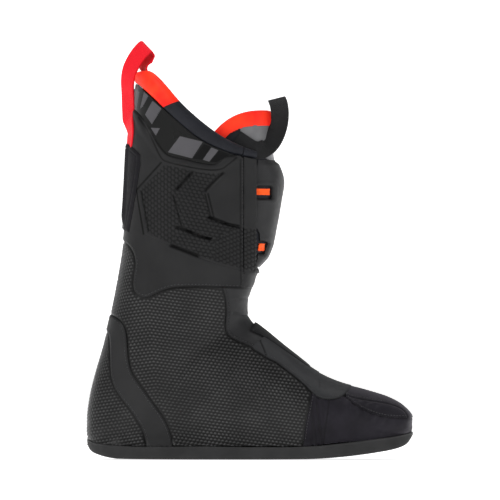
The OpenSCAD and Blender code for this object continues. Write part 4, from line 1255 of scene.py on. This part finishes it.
SLOTS = ((179.0, 190.0, 10.8, 13.8), (227.2, 238.0, 17.6, 17.8))
t_turn = np.abs((T.turns[1:, 1:] + T.turns[:-1, :-1]) / 2)
plate = (tz > 168.5) & (tz < 260.5)
plate &= t_turn < np.interp(tz, [165, 196, 206, 250, 260], [0.45, 0.46, 0.57, 0.57, 0.5])
hole_gap = np.full(T.x.shape, FAR)
for low, high, right, top_right in SLOTS:
    box = np.array([[5.9, low + 1], [6.7, low], [right - 1, low], [right, low + 1],
                    [top_right, high - 1], [top_right - 1, high], [6.7, high], [5.9, high - 1]])
    plate &= ~inside(tx, tz, box)
    hole_gap = np.minimum(hole_gap, near_line(T, box, 6, True))
front_rise = np.interp(T.z, [168, 172, 178, 190, 200, 240, 250, 256, 260.5],
                       [1.6, 2.6, 3.6, 3.3, 2.7, 2.9, 3.4, 3.5, 1.2])
plate_rise = 1.2 + (front_rise - 1.2) * (1 - ease(0.25, 0.5, np.abs(T.turns)))
plate_rise += -1.0 * (1 - ease(0, 1.5, hole_gap)) + 0.3 * (1 - ease(0.8, 2.6, np.abs(hole_gap - 2.4)))
plate_rise -= 0.6 * ease(256.5, 260.5, T.z)
plate_rise += 0.08 * ripple(T.points, 40.0, 9)
# Painted shade round the edges of the slots.
tongue_piece("shin_plate_moulding", "shin_plastic", "shin_plate", plate, plate_rise, 0.05,
             painted_shade_line(hole_gap, 1.0, 0.2, 1.2))
for k, (low, high) in enumerate(((182.2, 188.2), (230.6, 236.2))):
    for side, word in SIDES:
        mask = (t_turn < (0.46, 0.56)[k]) & (tx < (12, 16.6)[k]) & (tz > low) & (tz < high) & (ty * side > 0)
        tongue_piece(f"keeper_ribbon_{word}_{k}", "orange_ribbon", "keeper_ribbons", mask,
                     0.9 + 0.15 * np.cos((T.z - low) * 1.1), -0.25)

# ------------------------------------------------------------------ inner layers
L = Grid(skin, (1, LAST_SECTION), (0, 360), 2.2, 150, True, [0, 90, 180, 270])
lx, _, lz = np.moveaxis(L.middles(), -1, 0)
pile = 0.25 * ripple(L.points, 26.0, 17)
obj = shell("foot_lining_cloth", L, lz < 148.2, -8.0, -7.1 + pile)
finish_piece(obj, "lining", "liner", "foot_lining")
top_z = at_x(lx, COLLAR_LOW) - 0.5
mask = (lz > 147) & (lz < top_z) & ((lx < -6) | (lz < 162))
obj = shell("cuff_lining_cloth", L, mask, -8.1 - 0.2 * (1 + pile), -7.1)
finish_piece(obj, "lining", "liner", "cuff_lining")
base = patch("tongue_base_cloth", skin, (6, 13.5), (142, 218), -8.4, -12.0, (80, 60))
finish_piece(base, "lining", "liner", "tongue_base")
throat = patch("throat_cloth", skin, (12.6, 14.35), (146, 214), -7.9, -9.6, (50, 50))
finish_piece(throat, "lining", None, "tongue_base")
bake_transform(throat)

# ----------------------------------------------------------------------- outsole
SOLE_LOW = smooth([[-142.6, 16], [-141.5, 10], [-138.5, 6.5], [-133, 4], [-124, 1.6], [-112, 0], [40, 0],
                   [66, 1], [92, 3.5], [118, 7], [131, 10], [138, 13.5], [142.6, 21]])

# The sole's side from below to above: share of its height, and how far inside its rim
SOLE_PROFILE = [(0.0, 4.5), (0.0, 2.2), (0.03, 0.9), (0.12, 0.2), (0.3, 0.0), (0.55, 0.0), (0.8, 0.0),
                (0.86, -0.05), (0.9, -0.35), (0.95, -0.4), (0.99, -0.1), (1.0, 0.4), (0.99, 1.0),
                (0.98, 2.0), (0.98, 5.0)]
layers = []
for share_up, inset in SOLE_PROFILE:
    at = sole_rim - sole_out * inset
    low_z, high_z = at_x(at[:, 0], SOLE_LOW), at_x(at[:, 0], SOLE_TOP)
    z = low_z + share_up * (high_z - low_z)
    if share_up == 0.0:
        z = z + (0.5 if inset > 3 else 0.0)
    layers.append(np.column_stack([at, z]))
for k in (0.75, 0.5, 0.25, 0.0):
    inner = sole_rim - sole_out * 5
    at = np.column_stack([inner[:, 0] * (0.82 + 0.18 * k), inner[:, 1] * k])
    wave = 0.6 * ease(-0.2, 0.3, np.sin(at[:, 0] * 2 * math.pi / 8.0))
    layers.insert(0, np.column_stack([at, at_x(at[:, 0], SOLE_LOW) + 0.5 + wave]))
    layers.append(np.column_stack([at, at_x(at[:, 0], SOLE_TOP)]))
obj = mesh_object("outsole_rubber", np.vstack(layers), tube_faces(len(layers), len(sole_rim)), 0.6)
fix_outward(obj)
finish_piece(obj, "rubber_sole", "liner", "outsole")

# --------------------------------------------------------------------- footbed
FOOTBED_DISCS = ((-101, 0, 24.0), (66, 0, 35.0), (96, 3, 25.0))
FOOTBED_LINE = [[-128, 20.6], [50, 20.6], [76, 23], [101, 26.2], [124, 29]]
for name, low, high, inset, slot_name, node_name in (
    ("footbed_core", 0.0, 4.0, 0.4, "foam", "footbed"),
    ("footbed_top", 4.05, 4.9, 0.9, "lining", "footbed_cover"),
):
    edge = hull_points(FOOTBED_DISCS, 360, inset)
    levels = []
    for up, shrink in ((0.0, 4.5), (0.15, 3.0), (0.7, 1.2), (1.0, 0.6)):
        ring = edge - shrink * unit(edge - edge.mean(axis=0))
        levels.append(np.column_stack([ring, at_x(ring[:, 0], FOOTBED_LINE) + low + up * (high - low)]))
    for k in (0.8, 0.5, 0.2, 0.0):
        ring = edge * [0.9 + 0.1 * k, k]
        levels.insert(0, np.column_stack([ring, at_x(ring[:, 0], FOOTBED_LINE) + low]))
        levels.append(np.column_stack([ring, at_x(ring[:, 0], FOOTBED_LINE) + high - 0.3 * (1 - k)]))
    obj = mesh_object(name, np.vstack(levels), tube_faces(len(levels), len(edge)), 0.7)
    fix_outward(obj)
    finish_piece(obj, slot_name, "insole", node_name)

# -------------------------------------------------------------------- stitching
def tree_of(side):
    """Search tree over one side of the skin in side view."""
    pick = np.flatnonzero((G.y * side > 0).ravel())
    tree = KDTree(len(pick))
    px, pz = G.x.ravel()[pick], G.z.ravel()[pick]
    for k in range(len(pick)):
        tree.insert((px[k], pz[k], 0), int(pick[k]))
    tree.balance()
    return tree


def on_skin(tree, line, step):
    """Points and normals along a side-view line, drawn onto the skin."""
    line = np.asarray(line, float)
    walk = walked(line)
    s = np.arange(step / 2, walk[-1], step)
    xs, zs = np.interp(s, walk, line[:, 0]), np.interp(s, walk, line[:, 1])
    points, normals = [], []
    flat_p, flat_n = G.points.reshape(-1, 3), G.normals.reshape(-1, 3)
    for x, z in zip(xs, zs):
        index = tree.find((x, z, 0))[1]
        p, n = flat_p[index], flat_n[index]
        slope = np.sign(n[1]) * max(abs(n[1]), 0.3)
        y = p[1] - np.clip((n[0] * (x - p[0]) + n[2] * (z - p[2])) / slope, -1, 1)
        points.append([x, y, z])
        normals.append(n)
    return np.array(points), unit(np.array(normals))


def stitches(name, lines, rise, length, slot_name):
    """Rows of single stitches, each a small lens of thread that dips into the cloth."""
    verts, faces = [], []
    for line in lines:
        for side in (-1, 1):
            points, normals = on_skin(trees[side], line, length * 1.35)
            if len(points) < 3:
                continue
            tangent = unit(np.gradient(points, axis=0))
            across = unit(np.cross(tangent, normals))
            for p, t, a, n in zip(points, tangent, across, normals):
                start = len(verts)
                c = p + n * rise
                for along, size, lift in ((-0.5, 0.25, -0.25), (-0.25, 0.9, 0.05), (0.25, 0.9, 0.05),
                                          (0.5, 0.25, -0.25)):
                    m = c + t * along * length + n * lift
                    for corner in range(6):
                        w = math.cos(corner * math.pi / 3) * THREAD_WIDTH / 2 * size
                        h = math.sin(corner * math.pi / 3) * THREAD_WIDTH / 2 * size
                        verts.append(m + a * w + n * h)
                faces.extend(start + tube_faces(4, 6))
    obj = mesh_object(name, np.array(verts), np.array(faces), 0)
    return finish_piece(obj, slot_name, "liner", material=THREAD)


def offset_line(line, gap):
    """Line shifted sideways; a positive gap moves it to the left of its direction."""
    line = np.asarray(line, float)
    t = unit(np.gradient(line, axis=0))
    return line + np.stack([-t[:, 1], t[:, 0]], -1) * gap


THREAD = cloth("thread", (0.02, 0.02, 0.021), (0.035, 0.035, 0.037), 0.6, 3000.0, 0.2)
THREAD_WIDTH = 0.5
trees = {side: tree_of(side) for side in (-1, 1)}
inner_neck = [p for p in offset_line(NECK_REAR, 2.0) if p[1] < 149]
stitches("foot_stitches", [
    offset_line(STRAP_FRONT[(STRAP_FRONT[:, 1] > 14) & (STRAP_FRONT[:, 0] > -126)], -2.0),
    offset_line(STRAP_REAR[(STRAP_REAR[:, 1] > 16) & (STRAP_REAR[:, 0] > -128)], 2.0),
    inner_neck, offset_line(COVER_LOW[COVER_LOW[:, 0] < 82], 2.2),
], 1.15, 2.1, "smooth_overlay")
stitches("toe_stitches", [
    offset_line(TOE_REAR[TOE_REAR[:, 1] > 16], -1.6), TOE_CAP_UP[(TOE_CAP_UP[:, 1] > 40)] + [0, 1.3],
    TOE_EDGE[TOE_EDGE[:, 0] < 139] + [0, 1.5],
], 1.0, 1.9, "neoprene")
stitches("cuff_stitches", [
    [[-7.0, 261], [-7.0, 154.5]], offset_line(CUFF_LOW[(CUFF_LOW[:, 0] > -106) & (CUFF_LOW[:, 0] < 0)], 2.4),
], 1.2, 2.2, "cuff_eva")

# ------------------------------------------------- hidden CAD nodes keep a finish
for name in ("foot_foam_lateral", "foot_foam_medial", "cuff_foam", "ankle_pad_lateral", "ankle_pad_medial",
             "heel_counter", "sole_board"):
    kept = bpy.data.objects[name]
    kept.data.materials.clear()
    kept.data.materials.append(MATERIALS["board" if name == "sole_board" else "foam"])

# ------------------------------------------------------------- stage and camera
# A round floor whose edge curves up into a low wall, with the camera inside it
FLOOR_RADIUS, WALL_HEIGHT, FLOOR_SIDES = 12.0, 2.0, 96
FLOOR_GAP = 0.0008
profile = [(0.5, 0), (FLOOR_RADIUS, 0)]
for k in range(1, 9):
    a = math.radians(90 * k / 8)
    profile.append((FLOOR_RADIUS + math.sin(a), 1 - math.cos(a)))
profile.append((FLOOR_RADIUS + 1, WALL_HEIGHT))
verts = [(0, 0, -FLOOR_GAP)]
for radius, height in profile:
    for k in range(FLOOR_SIDES):
        a = 2 * math.pi * k / FLOOR_SIDES
        verts.append((radius * math.cos(a), radius * math.sin(a), height - FLOOR_GAP))
faces = []
for k in range(FLOOR_SIDES):
    after = (k + 1) % FLOOR_SIDES
    faces.append((0, 1 + k, 1 + after))
    for ring in range(len(profile) - 1):
        near, far = 1 + ring * FLOOR_SIDES, 1 + (ring + 1) * FLOOR_SIDES
        faces.append((near + k, far + k, far + after, near + after))
floor = bpy.data.meshes.new("floor")
floor.from_pydata(verts, [], faces)
floor.polygons.foreach_set("use_smooth", [True] * len(faces))
floor_object = bpy.data.objects.new("floor", floor)
bpy.context.scene.collection.objects.link(floor_object)
paper, tree, shader = new_material("paper_white")
shader.inputs["Roughness"].default_value = 1.0
shader.inputs["Specular IOR Level"].default_value = 0.0
faint = colour_mix(tree, noise(tree, 3.0), (0.96, 0.96, 0.96), (0.98, 0.98, 0.98))
tree.links.new(faint, shader.inputs["Base Color"])
tree.links.new(faint, shader.inputs["Emission Color"])
shader.inputs["Emission Strength"].default_value = 0.8
floor_object.data.materials.append(paper)


def soft_light(name, place, target, size, power):
    light = bpy.data.lights.new(name, "AREA")
    light.shape = "RECTANGLE"
    light.size, light.size_y = size
    light.energy = power
    obj = bpy.data.objects.new(name, light)
    obj.location = place
    way = Vector(target) - Vector(place)
    obj.rotation_euler = way.to_track_quat("-Z", "Y").to_euler()
    bpy.context.scene.collection.objects.link(obj)


soft_light("key", (-1.2, -1.2, 1.6), (0, 0, 0.2), (0.6, 0.8), 22)
soft_light("fill", (1.7, -1.1, 0.8), (0, 0, 0.15), (0.8, 1.4), 7)
soft_light("top", (0.2, 0.3, 1.9), (0, 0, 0.2), (1.2, 1.2), 12)
world = bpy.data.worlds.new("studio")
bpy.context.scene.world = world
world.use_nodes = True
world.node_tree.nodes["Background"].inputs["Color"].default_value = (1, 1, 1, 1)
world.node_tree.nodes["Background"].inputs["Strength"].default_value = 0.25

camera_data = bpy.data.cameras.new("camera")
camera_data.lens = 823.6
camera_data.sensor_width = 36
camera = bpy.data.objects.new("camera", camera_data)
camera.location = (0, -10.0, 0.1825)
camera.rotation_euler = (math.radians(90), 0, 0)
bpy.context.scene.collection.objects.link(camera)
bpy.context.scene.camera = camera
bpy.context.scene.view_settings.view_transform = "Standard"
